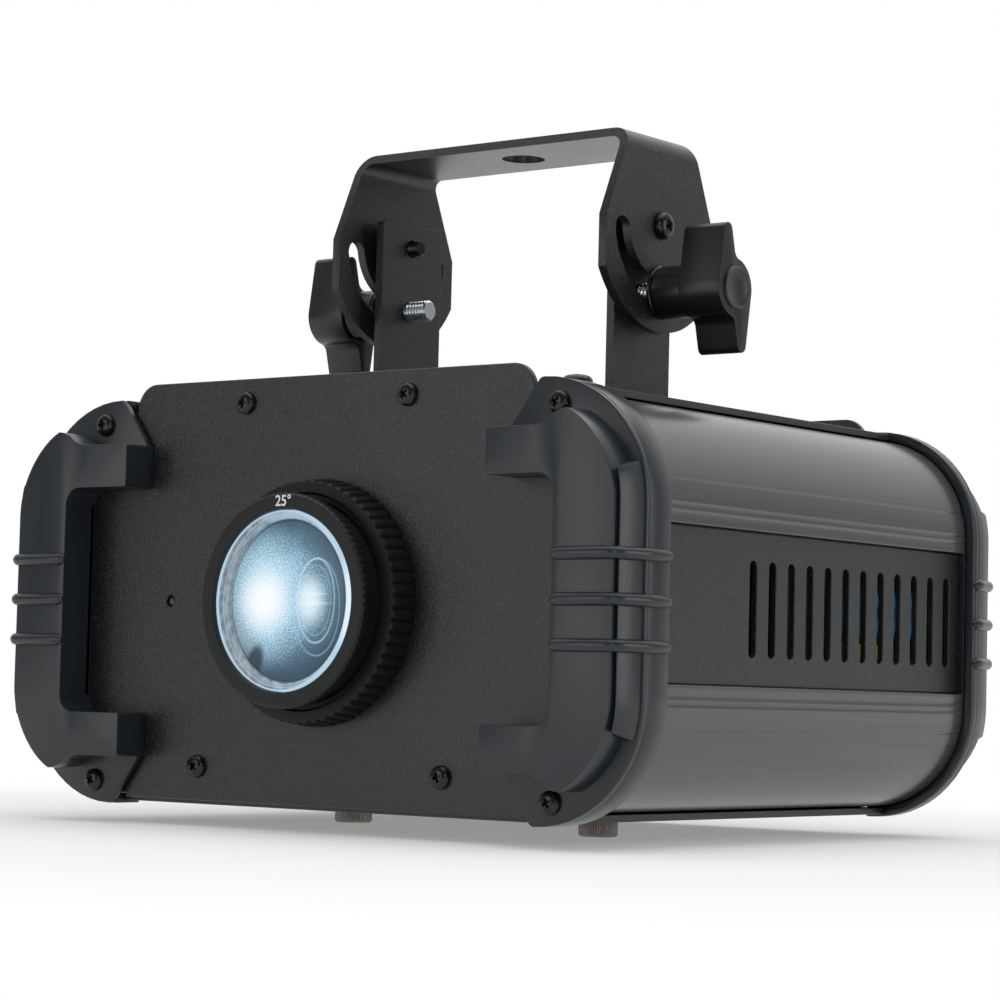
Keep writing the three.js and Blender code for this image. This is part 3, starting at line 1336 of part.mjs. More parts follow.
// Control board behind the rear plate, with the display's window and the menu buttons.
function addControls() {
  const rear = rearPlateFront - seatGap;
  const boardRear = rear - controlBoardBehind;
  const boardFront = boardRear - boardThickness;
  const half = controlBoardWidth / 2;
  const rise = controlBoardHeight / 2;
  const z = midZ + displayUp;
  const pieces = [blockBetween(-half, half, boardFront, boardRear, z - rise, z + rise)];
  for (const x of [-half + controlPostIn, half - controlPostIn]) {
    for (const up of [-rise + controlPostIn, rise - controlPostIn]) {
      pieces.push(rod(boardPostRadius, boardFront, rear, 'y', x, z + up, boreSteps));
    }
  }
  const pad = switchSize / 2;
  const switchRear = boardRear + switchHeight;
  for (let i = 0; i < buttonCount; i += 1) {
    const x = buttonX(i);
    pieces.push(blockBetween(x - pad, x + pad, boardFront, switchRear, z - pad, z + pad));
  }
  addNode('control_board', join(...pieces), finish.circuitBoard);

  const windowX = displayWidth / 2;
  const windowZ = displayHeight / 2;
  const window = roundedRectangle(displayAcross - windowX, displayAcross + windowX, z - windowZ,
    z + windowZ, displayCornerRadius);
  const lip = rectangle(displayAcross - windowX - displayLip, displayAcross + windowX + displayLip,
    z - windowZ - displayLip, z + windowZ + displayLip);
  const screen = join(
    alongY(window, boardRear + seatGap, rearFace + displayProud, slimCornerSteps),
    alongY(lip, rear - displayLipThickness, rear),
  );
  addNode('display_window', screen, finish.smokedWindow);

  const flangeFront = rear - buttonFlangeThickness;
  const stemFront = switchRear + seatGap + buttonTravel;
  for (let i = 0; i < buttonCount; i += 1) {
    const button = turned([
      [0, stemFront],
      [buttonStemRadius, stemFront],
      [buttonStemRadius, flangeFront],
      [buttonRadius + buttonFlange, flangeFront],
      [buttonRadius + buttonFlange, rear],
      [buttonRadius, rear],
      [buttonRadius, rearFace + buttonProud - buttonCrown],
      [buttonRadius - buttonCrown, rearFace + buttonProud],
      [0, rearFace + buttonProud],
    ], 'y', buttonX(i), z, pinSteps);
    addNode(`menu_button_${i + 1}`, button, finish.blackPlastic);
  }
}

// A round panel socket: a cup in a square flange, with pins or with an insert that has their holes.
function socketSolid(x, holdsPins) {
  const z = midZ - socketDown;
  const face = rearFace + seatGap;
  const faceBack = face + socketFlangeThickness;
  const front = rearPlateFront - socketDepth;
  const halfX = socketFlange / 2;
  const halfZ = socketFlangeHeight / 2;
  const flange = alongY(roundedRectangle(x - halfX, x + halfX, z - halfZ, z + halfZ, socketFlangeCorner),
    face, faceBack, slimCornerSteps);
  const body = rod(socketRadius, front, faceBack, 'y', x, z, socketSteps);
  const floor = front + socketBackWall;
  const cup = rod(socketRadius - socketWall, floor, faceBack + cutOverrun, 'y', x, z, socketSteps);
  const holes = [];
  const insert = rod(socketRadius - socketWall - socketInsertGap, floor - socketBackWall / 2, faceBack,
    'y', x, z, socketSteps);
  const from = floor - socketBackWall / 2;
  const to = holdsPins ? floor + socketPinLength : faceBack + cutOverrun;
  for (let i = 0; i < socketPins; i += 1) {
    const angle = Math.PI * (i + 1) / (socketPins + 1) * 2;
    const pinX = x + socketPinCircle * Math.cos(angle);
    const pinZ = z + socketPinCircle * Math.sin(angle);
    holes.push(rod(socketPinRadius, holdsPins ? from : floor, to, 'y', pinX, pinZ, boreSteps));
  }
  const shell = cut(join(flange, body), cup);
  return holdsPins ? join(shell, ...holes) : cut(join(shell, insert), ...holes);
}

// Mains inlet: a flanged cup with three flat pins, and a fuse drawer beside it.
function inletSolid() {
  const x = -inletAcross;
  const z = midZ - socketDown;
  const face = rearFace + seatGap;
  const faceBack = face + inletFlangeThickness;
  const front = rearPlateFront - inletDepth;
  const halfX = inletWidth / 2;
  const halfZ = inletHeight / 2;
  const over = inletFlangeOver;
  const flangeShape = roundedRectangle(x - halfX - over, x + halfX + over, z - halfZ - over,
    z + halfZ + over, inletCorner);
  const bodyShape = roundedRectangle(x - halfX, x + halfX, z - halfZ, z + halfZ, inletCorner);
  const cupX = x - halfX + inletWall;
  const cupShape = roundedRectangle(cupX, cupX + inletCupWidth, z - halfZ + inletWall,
    z + halfZ - inletWall, inletCorner);
  const cupFloor = faceBack - inletCupDepth;
  const shell = join(alongY(flangeShape, face, faceBack, slimCornerSteps),
    alongY(bodyShape, front, faceBack, slimCornerSteps));
  const middle = cupX + inletCupWidth / 2;
  const pins = [-inletPinPitch, 0, inletPinPitch].map((across) => {
    const up = across ? 0 : inletPinHeight / 2;
    return blockBetween(middle + across - inletPinWidth / 2, middle + across + inletPinWidth / 2,
      cupFloor - inletWall, cupFloor + inletPinLength,
      z - inletPinHeight / 2 + up, z + inletPinHeight / 2 + up);
  });
  const drawerX = cupX + inletCupWidth + (inletWidth - inletWall - inletCupWidth - fuseWidth) / 2;
  const drawer = rectangle(drawerX, drawerX + fuseWidth, z - fuseHeight / 2, z + fuseHeight / 2);
  const inner = rectangle(drawerX + fuseGroove, drawerX + fuseWidth - fuseGroove,
    z - fuseHeight / 2 + fuseGroove, z + fuseHeight / 2 - fuseGroove);
  const groove = cut(
    alongY(drawer, faceBack - fuseGroove, faceBack + cutOverrun),
    alongY(inner, faceBack - fuseGroove - cutOverrun, faceBack + cutOverrun),
  );
  return join(cut(shell, alongY(cupShape, cupFloor, faceBack + cutOverrun, slimCornerSteps), groove),
    ...pins);
}

function addSockets() {
  addNode('data_in', socketSolid(socketAcross, true), finish.blackPlastic);
  addNode('data_out', socketSolid(socketAcross - socketPitch, false), finish.blackPlastic);
  addNode('power_inlet', inletSolid(), finish.blackPlastic);

  const face = rearFace + seatGap;
  const halfX = safetyPlateWidth / 2;
  const halfZ = safetyPlateHeight / 2;
  const outline = roundedRectangle(safetyAcross - halfX, safetyAcross + halfX, midZ - halfZ,
    midZ + halfZ, safetyPlateCorner);
  const ring = welded(new THREE.TorusGeometry(safetyLoopRadius, safetyLoopWire, boreSteps, smallSteps));
  ring.rotateY(Math.PI / 2);
  ring.translate(safetyAcross, face + safetyPlateThickness, midZ);
  const reach = safetyLoopRadius + safetyLoopWire + cutOverrun;
  const outside = blockBetween(safetyAcross - reach, safetyAcross + reach, face,
    face + safetyPlateThickness + reach,
    midZ - reach, midZ + reach);
  const loop = join(alongY(outline, face, face + safetyPlateThickness, slimCornerSteps),
    solidFrom(ring).intersect(outside));
  addNode('safety_loop', loop, finish.blackOxide);
}

// Bent steel: a channel open at one end, with rounded bends, as wide as its widest part.
function channelSolid(outer, closed, open, bend, halfWidth) {
  const low = Math.min(closed, open);
  const high = Math.max(closed, open);
  const extra = bend + sheet;
  const down = closed < open ? 0 : extra;
  const up = closed < open ? extra : 0;
  const from = yokeBack - halfWidth;
  const to = yokeBack + halfWidth;
  const outside = roundedRectangle(-outer, outer, low - down, high + up, extra);
  const floorLow = closed < open ? closed + sheet : open - 2 * extra;
  const floorHigh = closed < open ? open + 2 * extra : closed - sheet;
  const inside = roundedRectangle(-outer + sheet, outer - sheet, floorLow, floorHigh, bend);
  return cut(alongY(outside, from, to, cornerSteps),
    alongY(inside, from - cutOverrun, to + cutOverrun, cornerSteps));
}

// Bracket on the top cover whose uprights carry the yoke.
function addYokeBase() {
  const bottom = coverTop + seatGap;
  const top = pivotZ + uprightRise;
  const half = uprightWidth / 2;
  const radius = uprightCornerRadius;
  const side = new THREE.Shape();
  side.moveTo(yokeBack - half, bottom);
  side.lineTo(yokeBack + half, bottom);
  side.lineTo(yokeBack + half, top - radius);
  side.absarc(yokeBack + half - radius, top - radius, radius, 0, Math.PI / 2, false);
  side.lineTo(yokeBack - half + radius, top);
  side.absarc(yokeBack - half + radius, top - radius, radius, Math.PI / 2, Math.PI, false);
  side.closePath();
  const channel = channelSolid(uprightOuter, bottom, top, bracketBend, half);
  const reach = uprightOuter + cutOverrun;
  const shaped = channel.intersect(alongX(side, -reach, reach, slimCornerSteps));
  const pivotHole = rod(pivotShankRadius + seatGap, -reach, reach, 'x', yokeBack, pivotZ, smallSteps);
  const studHole = rod(studRadius + seatGap, -reach, reach, 'x', yokeBack, studZ, smallSteps);
  addNode('yoke_base', cut(shaped, pivotHole, studHole), finish.texturedBlack);
}

// Side view of the yoke's arms: tapering to the top strip, round below about the pivot.
function yokeArmOutline() {
  const half = yokeWidest / 2;
  const strip = yokeTopWidth / 2;
  const drop = Math.sqrt(yokeFootRadius ** 2 - half ** 2);
  const start = Math.atan2(-drop, -half);
  const end = Math.atan2(-drop, half);
  const shape = new THREE.Shape();
  shape.moveTo(yokeBack - half, pivotZ);
  shape.lineTo(yokeBack - half, pivotZ - drop);
  shape.absarc(yokeBack, pivotZ, yokeFootRadius, start, end, false);
  shape.lineTo(yokeBack + half, pivotZ);
  shape.lineTo(yokeBack + strip, yokeTop);
  shape.lineTo(yokeBack - strip, yokeTop);
  shape.closePath();
  return shape;
}

// Curved slot round the pivot that the clamp studs pass through.
function slotOutline() {
  const half = slotWidth / 2;
  const start = -Math.PI / 2 - slotHalfAngle;
  const end = -Math.PI / 2 + slotHalfAngle;
  const endY = yokeBack + studDrop * Math.cos(end);
  const endZ = pivotZ + studDrop * Math.sin(end);
  const startY = yokeBack + studDrop * Math.cos(start);
  const startZ = pivotZ + studDrop * Math.sin(start);
  const shape = new THREE.Shape();
  shape.absarc(yokeBack, pivotZ, studDrop + half, start, end, false);
  shape.absarc(endY, endZ, half, end, end + Math.PI, false);
  shape.absarc(yokeBack, pivotZ, studDrop - half, end, start, true);
  shape.absarc(startY, startZ, half, start + Math.PI, start + 2 * Math.PI, false);
  shape.closePath();
  return shape;
}

function addYoke() {
  const reach = yokeArmOuter + cutOverrun;
  const lowest = pivotZ - yokeFootRadius;
  const channel = channelSolid(yokeArmOuter, yokeTop, lowest, yokeBend, yokeWidest / 2);
  const shaped = channel.intersect(alongX(yokeArmOutline(), -reach, reach, armArcSteps));
  const slots = alongX(slotOutline(), -reach, reach, slotArcSteps);
  const pivotHole = rod(pivotShankRadius + seatGap, -reach, reach, 'x', yokeBack, pivotZ, smallSteps);
  const hook = rod(yokeHole, yokeTop - sheet - cutOverrun, yokeTop + cutOverrun, 'z', 0, yokeBack,
    roundSteps);
  addNode('yoke', cut(shaped, slots, pivotHole, hook), finish.texturedBlack);
}

function addPivots() {
  const headInner = yokeArmOuter + seatGap;
  const headOuter = headInner + pivotHeadHeight;
  const screw = turned([
    [0, uprightInner - pivotEndProud],
    [pivotShankRadius, uprightInner - pivotEndProud],
    [pivotShankRadius, headInner],
    [pivotHeadRadius, headInner],
    [pivotHeadRadius, headOuter - pivotHeadChamfer],
    [pivotHeadRadius - pivotHeadChamfer, headOuter],
    [0, headOuter],
  ], 'x', yokeBack, pivotZ, smallSteps);
  addPair('pivot_screw', screw, finish.blackOxide);
  const bore = pivotShankRadius + seatGap;
  const spacer = tube(spacerRadius, bore, uprightOuter + seatGap, yokeArmInner - seatGap, 'x', yokeBack,
    pivotZ, socketSteps);
  addPair('pivot_spacer', spacer, finish.nylon);
}

// The knob's two wings: one flank tangent to the hub, the other met by a fillet, leaning over.
function knobOutline() {
  const tip = knobWingTip / 2;
  const reach = knobWingReach - tip;
  const flank = Math.PI / 2 + Math.acos((knobHubRadius - tip) / reach);
  const across = tip + knobFillet;
  const along = Math.sqrt((knobHubRadius + knobFillet) ** 2 - across ** 2);
  const meet = Math.atan2(along, across);
  const shape = new THREE.Shape();
  for (const turn of [knobWingLean, knobWingLean + Math.PI]) {
    const cos = Math.cos(turn);
    const sin = Math.sin(turn);
    const filletY = yokeBack + across * cos - along * sin;
    const filletZ = studZ + across * sin + along * cos;
    const tipY = yokeBack - reach * sin;
    const tipZ = studZ + reach * cos;
    shape.absarc(filletY, filletZ, knobFillet, meet + Math.PI + turn, Math.PI + turn, true);
    shape.absarc(tipY, tipZ, tip, turn, flank + turn, false);
    shape.absarc(yokeBack, studZ, knobHubRadius, flank + turn, meet + Math.PI + turn, false);
  }
  shape.closePath();
  return shape;
}

function addClamps() {
  const wingBack = knobFace - knobWingDepth;
  const socketEnd = knobBack + knobStudSocket;
  const bore = studRadius + seatGap;
  const knob = cut(
    join(
      alongX(knobOutline(), wingBack, knobFace, cornerSteps),
      rod(knobBossRadius, knobBack, knobFace, 'x', yokeBack, studZ, socketSteps),
      rod(knobCapRadius, wingBack, knobFace + knobCapHeight, 'x', yokeBack, studZ, socketSteps),
    ),
    rod(bore, knobBack - cutOverrun, socketEnd, 'x', yokeBack, studZ, smallSteps),
  );
  addPair('knob', knob, finish.blackPlastic);
  addPair('stud', rod(studRadius, uprightInner - studEndProud, socketEnd - seatGap, 'x', yokeBack, studZ,
    smallSteps), finish.zinc);
  const washer = tube(washerRadius, bore, washerInner, washerInner + washerThickness, 'x', yokeBack,
    studZ, socketSteps);
  addPair('washer', washer, finish.blackOxide);
}

addHousing();
addCovers();
addFrontPlate();
addRearPlate();
addGuards();
addLensTube();
addFocusRing();
addBarrel();
addGoboStage();
addGoboDrive();
addLightEngine();
addFan();
addPowerBoard();
addControls();
addSockets();
addYokeBase();
addYoke();
addPivots();
addClamps();

projector.position.y = -(frontLimit + rearLimit) / 2;

export default projector;
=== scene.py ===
# Looks of the gobo projector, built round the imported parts. Sizes are in millimetres.
import json
import math

import bmesh
import bpy
from mathutils import Matrix, Vector


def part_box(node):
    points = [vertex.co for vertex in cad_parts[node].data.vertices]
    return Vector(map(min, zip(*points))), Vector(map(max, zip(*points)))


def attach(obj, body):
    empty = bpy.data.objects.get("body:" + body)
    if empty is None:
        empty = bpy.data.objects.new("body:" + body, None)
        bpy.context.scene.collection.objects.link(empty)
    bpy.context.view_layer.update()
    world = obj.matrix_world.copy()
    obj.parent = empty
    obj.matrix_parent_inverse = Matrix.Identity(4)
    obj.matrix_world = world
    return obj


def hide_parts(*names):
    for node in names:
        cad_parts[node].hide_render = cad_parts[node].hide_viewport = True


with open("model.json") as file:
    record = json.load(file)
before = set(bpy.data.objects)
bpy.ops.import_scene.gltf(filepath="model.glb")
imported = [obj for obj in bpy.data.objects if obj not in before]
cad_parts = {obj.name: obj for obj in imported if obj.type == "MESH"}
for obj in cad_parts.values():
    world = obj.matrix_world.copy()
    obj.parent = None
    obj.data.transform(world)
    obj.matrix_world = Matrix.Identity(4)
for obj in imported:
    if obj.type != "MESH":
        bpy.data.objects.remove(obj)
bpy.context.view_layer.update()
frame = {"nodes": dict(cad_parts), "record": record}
nodes = frame["nodes"]
scene = bpy.context.scene
mm = 0.001
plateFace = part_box("front_plate")[0].y / mm     # the front plate's face, y = 0 in the drawings
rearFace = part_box("rear_plate")[1].y / mm - plateFace
midZ = (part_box("side_panel_right")[0].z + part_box("side_panel_right")[1].z) / 2 / mm
softAngle = math.radians(32)    # sharper edges than this stay crisp
spare = 1    # how far a cutting shape reaches beyond what it cuts
weld = dict(piece=1e-6, turned=1e-7, solid=2e-6)    # corners nearer than this become one, in metres
sides = dict(lens=96, clamp=64, socket=64, button=48, slot=48, slotEnd=40, sensor=32, sensorHole=24, pin=20, port=16,
             groove=8)
print("frame loaded")


def addObject(name, data):
    made = bpy.data.objects.new(name, data)
    scene.collection.objects.link(made)
    return made


camera = dict(place=(596.28, -776.65, 42.59), turn=37.678, rise=3.809, roll=1.432, lens=106.95, sensor=36,
              nearest=0.01)


def addCamera():
    turn, rise, roll = (math.radians(camera[key]) for key in ("turn", "rise", "roll"))
    ahead = Vector((-math.sin(turn) * math.cos(rise), math.cos(turn) * math.cos(rise), math.sin(rise)))
    level = Vector((math.cos(turn), math.sin(turn), 0))
    upright = level.cross(ahead)
    right = level * math.cos(roll) + upright * math.sin(roll)
    up = upright * math.cos(roll) - level * math.sin(roll)
    pose = Matrix((right, up, -ahead)).transposed().to_4x4()
    pose.translation = Vector(camera["place"]) * mm
    data = bpy.data.cameras.new("camera")
    data.lens = camera["lens"]
    data.sensor_width = camera["sensor"]
    data.clip_start = camera["nearest"]
    scene.camera = addObject("camera", data)
    scene.camera.matrix_world = pose


lamps = {
    "overhead": dict(place=(0.1, 0.15, 1.7), aim=(0, 0, 0.1), size=(2.2, 2.2), power=20),
    "sideBox": dict(place=(1.85, 0.70, 0.34), aim=(0.12, 0, 0.08), size=(0.6, 1.1), power=6),
    "edgeBox": dict(place=(1.25, -1.55, 0.55), aim=(0, 0, 0.1), size=(0.35, 0.35), power=2.5),
    "frontBox": dict(place=(-0.9, -1.85, 0.45), aim=(0, 0, 0.1), size=(0.9, 0.9), power=4),
}


def addLamps():
    for name, lamp in lamps.items():
        data = bpy.data.lights.new(name, "AREA")
        data.shape = "RECTANGLE"
        data.size, data.size_y = lamp["size"]
        data.energy = lamp["power"]
        light = addObject(name, data)
        light.location = lamp["place"]
        light.rotation_euler = (Vector(lamp["aim"]) - light.location).to_track_quat("-Z", "Y").to_euler()


# Gives a node's inputs their values, or links other nodes' sockets to them.
def feed(tree, node, inputs):
    for name, item in inputs.items():
        if isinstance(item, bpy.types.NodeSocket):
            tree.links.new(item, node.inputs[name])
        else:
            node.inputs[name].default_value = item


def addNode(tree, kind, inputs=None, **settings):
    node = tree.nodes.new(kind)
    for name, setting in settings.items():
        setattr(node, name, setting)
    feed(tree, node, inputs or {})
    return node.outputs


def mathNode(tree, operation, *items):
    return addNode(tree, "ShaderNodeMath", dict(enumerate(items)), operation=operation)[0]


def lengthOf(tree, place):
    return addNode(tree, "ShaderNodeVectorMath", {0: place}, operation="LENGTH")["Value"]


def ramp(tree, source, low, high, least=0, most=1, shape="SMOOTHSTEP"):
    ends = {"Value": source, "From Min": low, "From Max": high, "To Min": least, "To Max": most}
    return addNode(tree, "ShaderNodeMapRange", ends, interpolation_type=shape)["Result"]


def noise(tree, place, scale, detail):
    return addNode(tree, "ShaderNodeTexNoise", {"Vector": place, "Scale": scale, "Detail": detail})[0]


def mixColour(tree, amount, first, second):
    return addNode(tree, "ShaderNodeMix", {"Factor": amount, "A": first, "B": second}, data_type="RGBA")["Result"]


def mixShader(tree, amount, first, second):
    return addNode(tree, "ShaderNodeMixShader", {0: amount, 1: first, 2: second})[0]


def newMaterial(name):
    material = bpy.data.materials.new(name)
    material.use_nodes = True
    return material


# The sky grows brighter with height, and the sweep towards sweepTurn: from, to, least and most.
studio = dict(sky=(-0.1, 0.9, 0.30, 0.85), sweep=(0.1, 0.95, 0.16, 1.0), sweepTurn=(-0.45, 0.62, 0.64),
              floorRadius=4.0, floorSides=96, floorFade=(0.22, 0.44), floorColour=(0.54, 0.54, 0.545),
              floorLift=0.27, floorGloss=0.6)


# White to the camera, white to gloss and glass behind the object, and dimmer on the camera's side.
def addWorld():
    world = bpy.data.worlds.new("studio")
    scene.world = world
    world.use_nodes = True
    tree = world.node_tree
    tree.nodes.clear()
    path = addNode(tree, "ShaderNodeLightPath")
    place = addNode(tree, "ShaderNodeTexCoord")["Generated"]
    height = addNode(tree, "ShaderNodeSeparateXYZ", {0: place})["Z"]
    behind = addNode(tree, "ShaderNodeVectorMath", {0: place, 1: studio["sweepTurn"]}, operation="DOT_PRODUCT")
    strengths = (ramp(tree, height, *studio["sky"]), ramp(tree, behind["Value"], *studio["sweep"]), 1)
    sky, sweep, white = (addNode(tree, "ShaderNodeBackground", {"Color": (1, 1, 1, 1), "Strength": strength})[0]
                         for strength in strengths)
    shiny = mathNode(tree, "MAXIMUM", path["Is Glossy Ray"], path["Is Transmission Ray"])
    seen = mixShader(tree, path["Is Camera Ray"], mixShader(tree, shiny, sky, sweep), white)
    addNode(tree, "ShaderNodeOutputWorld", {"Surface": seen})


# A pale floor that takes the object's shadow, and fades to white away from it.
def addFloor():
    bm = bmesh.new()
    bmesh.ops.create_circle(bm, cap_ends=True, segments=studio["floorSides"], radius=studio["floorRadius"])
    floor = finishMesh("floor", bm)
    material = newMaterial("paleFloor")
    tree = material.node_tree
    tree.nodes.clear()
    path = addNode(tree, "ShaderNodeLightPath")
    fade = ramp(tree, lengthOf(tree, addNode(tree, "ShaderNodeTexCoord")["Object"]), *studio["floorFade"])
    lift = mathNode(tree, "MULTIPLY", path["Is Camera Ray"], studio["floorLift"])
    paint = addNode(tree, "ShaderNodeBsdfDiffuse", {"Color": (*studio["floorColour"], 1)})[0]
    lifted, white = (addNode(tree, "ShaderNodeEmission", {"Strength": strength})[0] for strength in (lift, 1))
    near = addNode(tree, "ShaderNodeAddShader", {0: paint, 1: lifted})[0]
    seen = mixShader(tree, mathNode(tree, "MULTIPLY", fade, path["Is Camera Ray"]), near, white)
    mirrored = mathNode(tree, "MULTIPLY", path["Is Glossy Ray"], mathNode(tree, "MAXIMUM", fade, studio["floorGloss"]))
    addNode(tree, "ShaderNodeOutputMaterial", {"Surface": mixShader(tree, mirrored, seen, white)})
    floor.data.materials.append(material)


effect = dict(fineDetail=2, lineDetail=3, driftScale=28, driftDetail=4, flecks=(0.5, 0.75), middle=0.5)


# A grain of light and dark flecks over slow drifts of tone: paint, mouldings and cast metal. Where it is
# lined, one noise does both, and the mapping in each material stretches it to drawn lines.
def effectGroup(name, lined):
    colour, value, vector = "NodeSocketColor", "NodeSocketFloat", "NodeSocketVector"
    group = bpy.data.node_groups.new(name, "ShaderNodeTree")
    for label, kind in (("Place", vector), ("Base", colour), ("Fleck", colour), ("Grain", value), ("Share", value),
                        ("Rough", value), ("Spread", value)):
        group.interface.new_socket(name=label, in_out="INPUT", socket_type=kind)
    for label, kind in (("Colour", colour), ("Roughness", value), ("Height", value)):
        group.interface.new_socket(name=label, in_out="OUTPUT", socket_type=kind)
    given = group.nodes.new("NodeGroupInput").outputs
    fine = noise(group, given["Place"], given["Grain"], effect["lineDetail" if lined else "fineDetail"])
    slow = fine if lined else noise(group, given["Place"], effect["driftScale"], effect["driftDetail"])
    flecks = fine if lined else ramp(group, fine, *effect["flecks"], shape="LINEAR")
    tint = mixColour(group, mathNode(group, "MULTIPLY", flecks, given["Share"]), given["Base"], given["Fleck"])
    drift = mathNode(group, "SUBTRACT", slow, effect["middle"])
    rough = mathNode(group, "MULTIPLY_ADD", drift, given["Spread"], given["Rough"])
    feed(group, group.nodes.new("NodeGroupOutput"), {"Colour": tint, "Roughness": rough, "Height": fine})
    return group


surfaceGrain = effectGroup("surfaceGrain", False)
drawnLines = effectGroup("drawnLines", True)
usual = dict(share=0.3, rough=0.35, spread=0.10, bump=0.10, depth=0.0001, sockets={})
recipes = {
    "textured_steel": dict(base=(0.0056, 0.0064, 0.0077), fleck=(0.046, 0.049, 0.054), grain=1600, share=0.75,
                           rough=0.36, spread=0.14, bump=0.60, depth=0.0003,
                           sockets={"Coat Weight": 0.30, "Coat Roughness": 0.28, "Specular IOR Level": 0.42}),
    "guard_plastic": dict(base=(0.0155, 0.0200, 0.0250), fleck=(0.028, 0.035, 0.042), grain=2600, share=0.35,
                          rough=0.29, spread=0.12, bump=0.12),
    "gunmetal_aluminium": dict(base=(0.095, 0.096, 0.099), fleck=(0.150, 0.151, 0.154), grain=1, share=0.8,
                               stretch=(1400, 9, 1400), rough=0.23, bump=0.05, depth=0.00005,
                               sockets={"Metallic": 0.55}),
    "black_plastic": dict(base=(0.0060, 0.0086, 0.0106), fleck=(0.012, 0.016, 0.019), grain=2200, rough=0.33,
                          spread=0.08),
    "ring_plastic": dict(base=(0.0085, 0.0105, 0.0112), fleck=(0.013, 0.016, 0.017), grain=1800, share=0.4,
                         rough=0.48, bump=0.20, sockets={"Specular IOR Level": 0.22}),
    "black_anodised": dict(base=(0.0080, 0.0098, 0.0104), fleck=(0.014, 0.016, 0.017), grain=3000, rough=0.45,
                           sockets={"Specular IOR Level": 0.3}),
    "black_oxide_steel": dict(base=(0.035, 0.035, 0.037), fleck=(0.08, 0.08, 0.083), grain=1800, rough=0.22,
                              spread=0.12, bump=0.06, sockets={"Metallic": 0.85}),
    "zinc_steel": dict(base=(0.66, 0.70, 0.73), fleck=(0.82, 0.85, 0.87), grain=700, share=0.4, rough=0.26,
                       spread=0.15, bump=0.05, sockets={"Metallic": 1.0}),
    "bronzed_steel": dict(base=(0.20, 0.17, 0.15), fleck=(0.40, 0.36, 0.33), grain=1200, share=0.5, rough=0.38,
                          spread=0.20, sockets={"Metallic": 0.9}),
    "bare_aluminium": dict(base=(0.52, 0.53, 0.54), fleck=(0.70, 0.71, 0.72), grain=1, share=0.6,
                           stretch=(900, 900, 40), rough=0.34, spread=0.12, bump=0.08, sockets={"Metallic": 1.0}),
    "galvanised_steel": dict(base=(0.36, 0.38, 0.40), fleck=(0.55, 0.57, 0.58), grain=160, share=0.6, rough=0.40,
                             spread=0.20, bump=0.05, sockets={"Metallic": 0.95}),
    "circuit_board": dict(base=(0.012, 0.070, 0.038), fleck=(0.03, 0.14, 0.08), grain=420, share=0.5),
    "white_board": dict(base=(0.78, 0.80, 0.82), fleck=(0.62, 0.64, 0.66), grain=600, rough=0.40, bump=0.05),
    "blue_sleeve": dict(base=(0.06, 0.36, 0.70), fleck=(0.12, 0.50, 0.85), grain=500, rough=0.30, bump=0.05),
    "amber_tape": dict(base=(0.80, 0.46, 0.05), fleck=(0.90, 0.60, 0.14), grain=500, share=0.4, bump=0.08),
    "nylon": dict(base=(0.03, 0.03, 0.031), fleck=(0.05, 0.05, 0.052), grain=1800, rough=0.48, spread=0.08,
                  bump=0.08),
    "smoked_window": dict(base=(0.008, 0.009, 0.010), fleck=(0.012, 0.013, 0.014), grain=300, share=0.2,
                          rough=0.08, spread=0.03, bump=0.0, sockets={"Coat Weight": 0.6}),
    "lens_glass": dict(base=(0.88, 0.94, 0.97), fleck=(0.80, 0.90, 0.95), grain=60, share=0.2, rough=0.03,
                       spread=0.02, bump=0.0, sockets={"Transmission Weight": 1.0, "IOR": 1.5, "Coat Weight": 0.4}),
}


def shadedMaterial(name, recipe):
    given = {**usual, **recipe}
    material = newMaterial(name)
    tree = material.node_tree
    lined = "stretch" in given
    place = {"Vector": addNode(tree, "ShaderNodeTexCoord")["Object"], "Scale": given.get("stretch", (1, 1, 1))}
    values = {key.capitalize(): given[key] for key in ("grain", "share", "rough", "spread")}
    values |= {key.capitalize(): (*given[key], 1) for key in ("base", "fleck")}
    values["Place"] = addNode(tree, "ShaderNodeMapping", place)[0]
    shown = addNode(tree, "ShaderNodeGroup", values, node_tree=drawnLines if lined else surfaceGrain)
    relief = {"Strength": given["bump"], "Distance": given["depth"], "Height": shown["Height"]}
    feed(tree, tree.nodes["Principled BSDF"], {
        "Base Color": shown["Colour"], "Roughness": shown["Roughness"],
        "Normal": addNode(tree, "ShaderNodeBump", relief)[0], **given["sockets"]})
    return material


finishes = {slot: shadedMaterial(slot, recipe) for slot, recipe in recipes.items()}
slotOf = {part["node"]: part["material_slot"] for part in frame["record"]["subparts"]}
bodyOf = {node: body for body, held in frame["record"]["behaviour"]["bodies"].items() for node in held}


def dressNodes():
    for name, piece in nodes.items():
        if not piece.material_slots:
            piece.data.materials.append(None)
        for held in piece.material_slots:
            held.material = finishes[slotOf[name]]


def finishMesh(name, bm, merged=True):
    if merged:
        bmesh.ops.remove_doubles(bm, verts=bm.verts, dist=weld["piece"])
    bmesh.ops.recalc_face_normals(bm, faces=bm.faces)
    mesh = bpy.data.meshes.new(name)
    bm.to_mesh(mesh)
    bm.free()
    mesh.shade_smooth()
    mesh.set_sharp_from_angle(angle=softAngle)
    return addObject(name, mesh)


# Gives a finished piece its material, body and slot, and hides the node that it stands for.
def settle(piece, node, slot=None, finish=None, stands=True):
    slot = slot or slotOf[node]
    piece.data.materials.clear()
    piece.data.materials.append(finishes[finish or slot])
    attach(piece, bodyOf[node])
    if stands:
        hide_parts(node)
    return piece


acrossMirror = Matrix.Diagonal((-1, 1, 1, 1))


def copyOf(piece, name, matrix):
    twin = piece.copy()
    twin.data = piece.data.copy()
    twin.name = name
    twin.data.transform(matrix)
    if matrix.determinant() < 0:
        twin.data.flip_normals()
    scene.collection.objects.link(twin)
    return twin


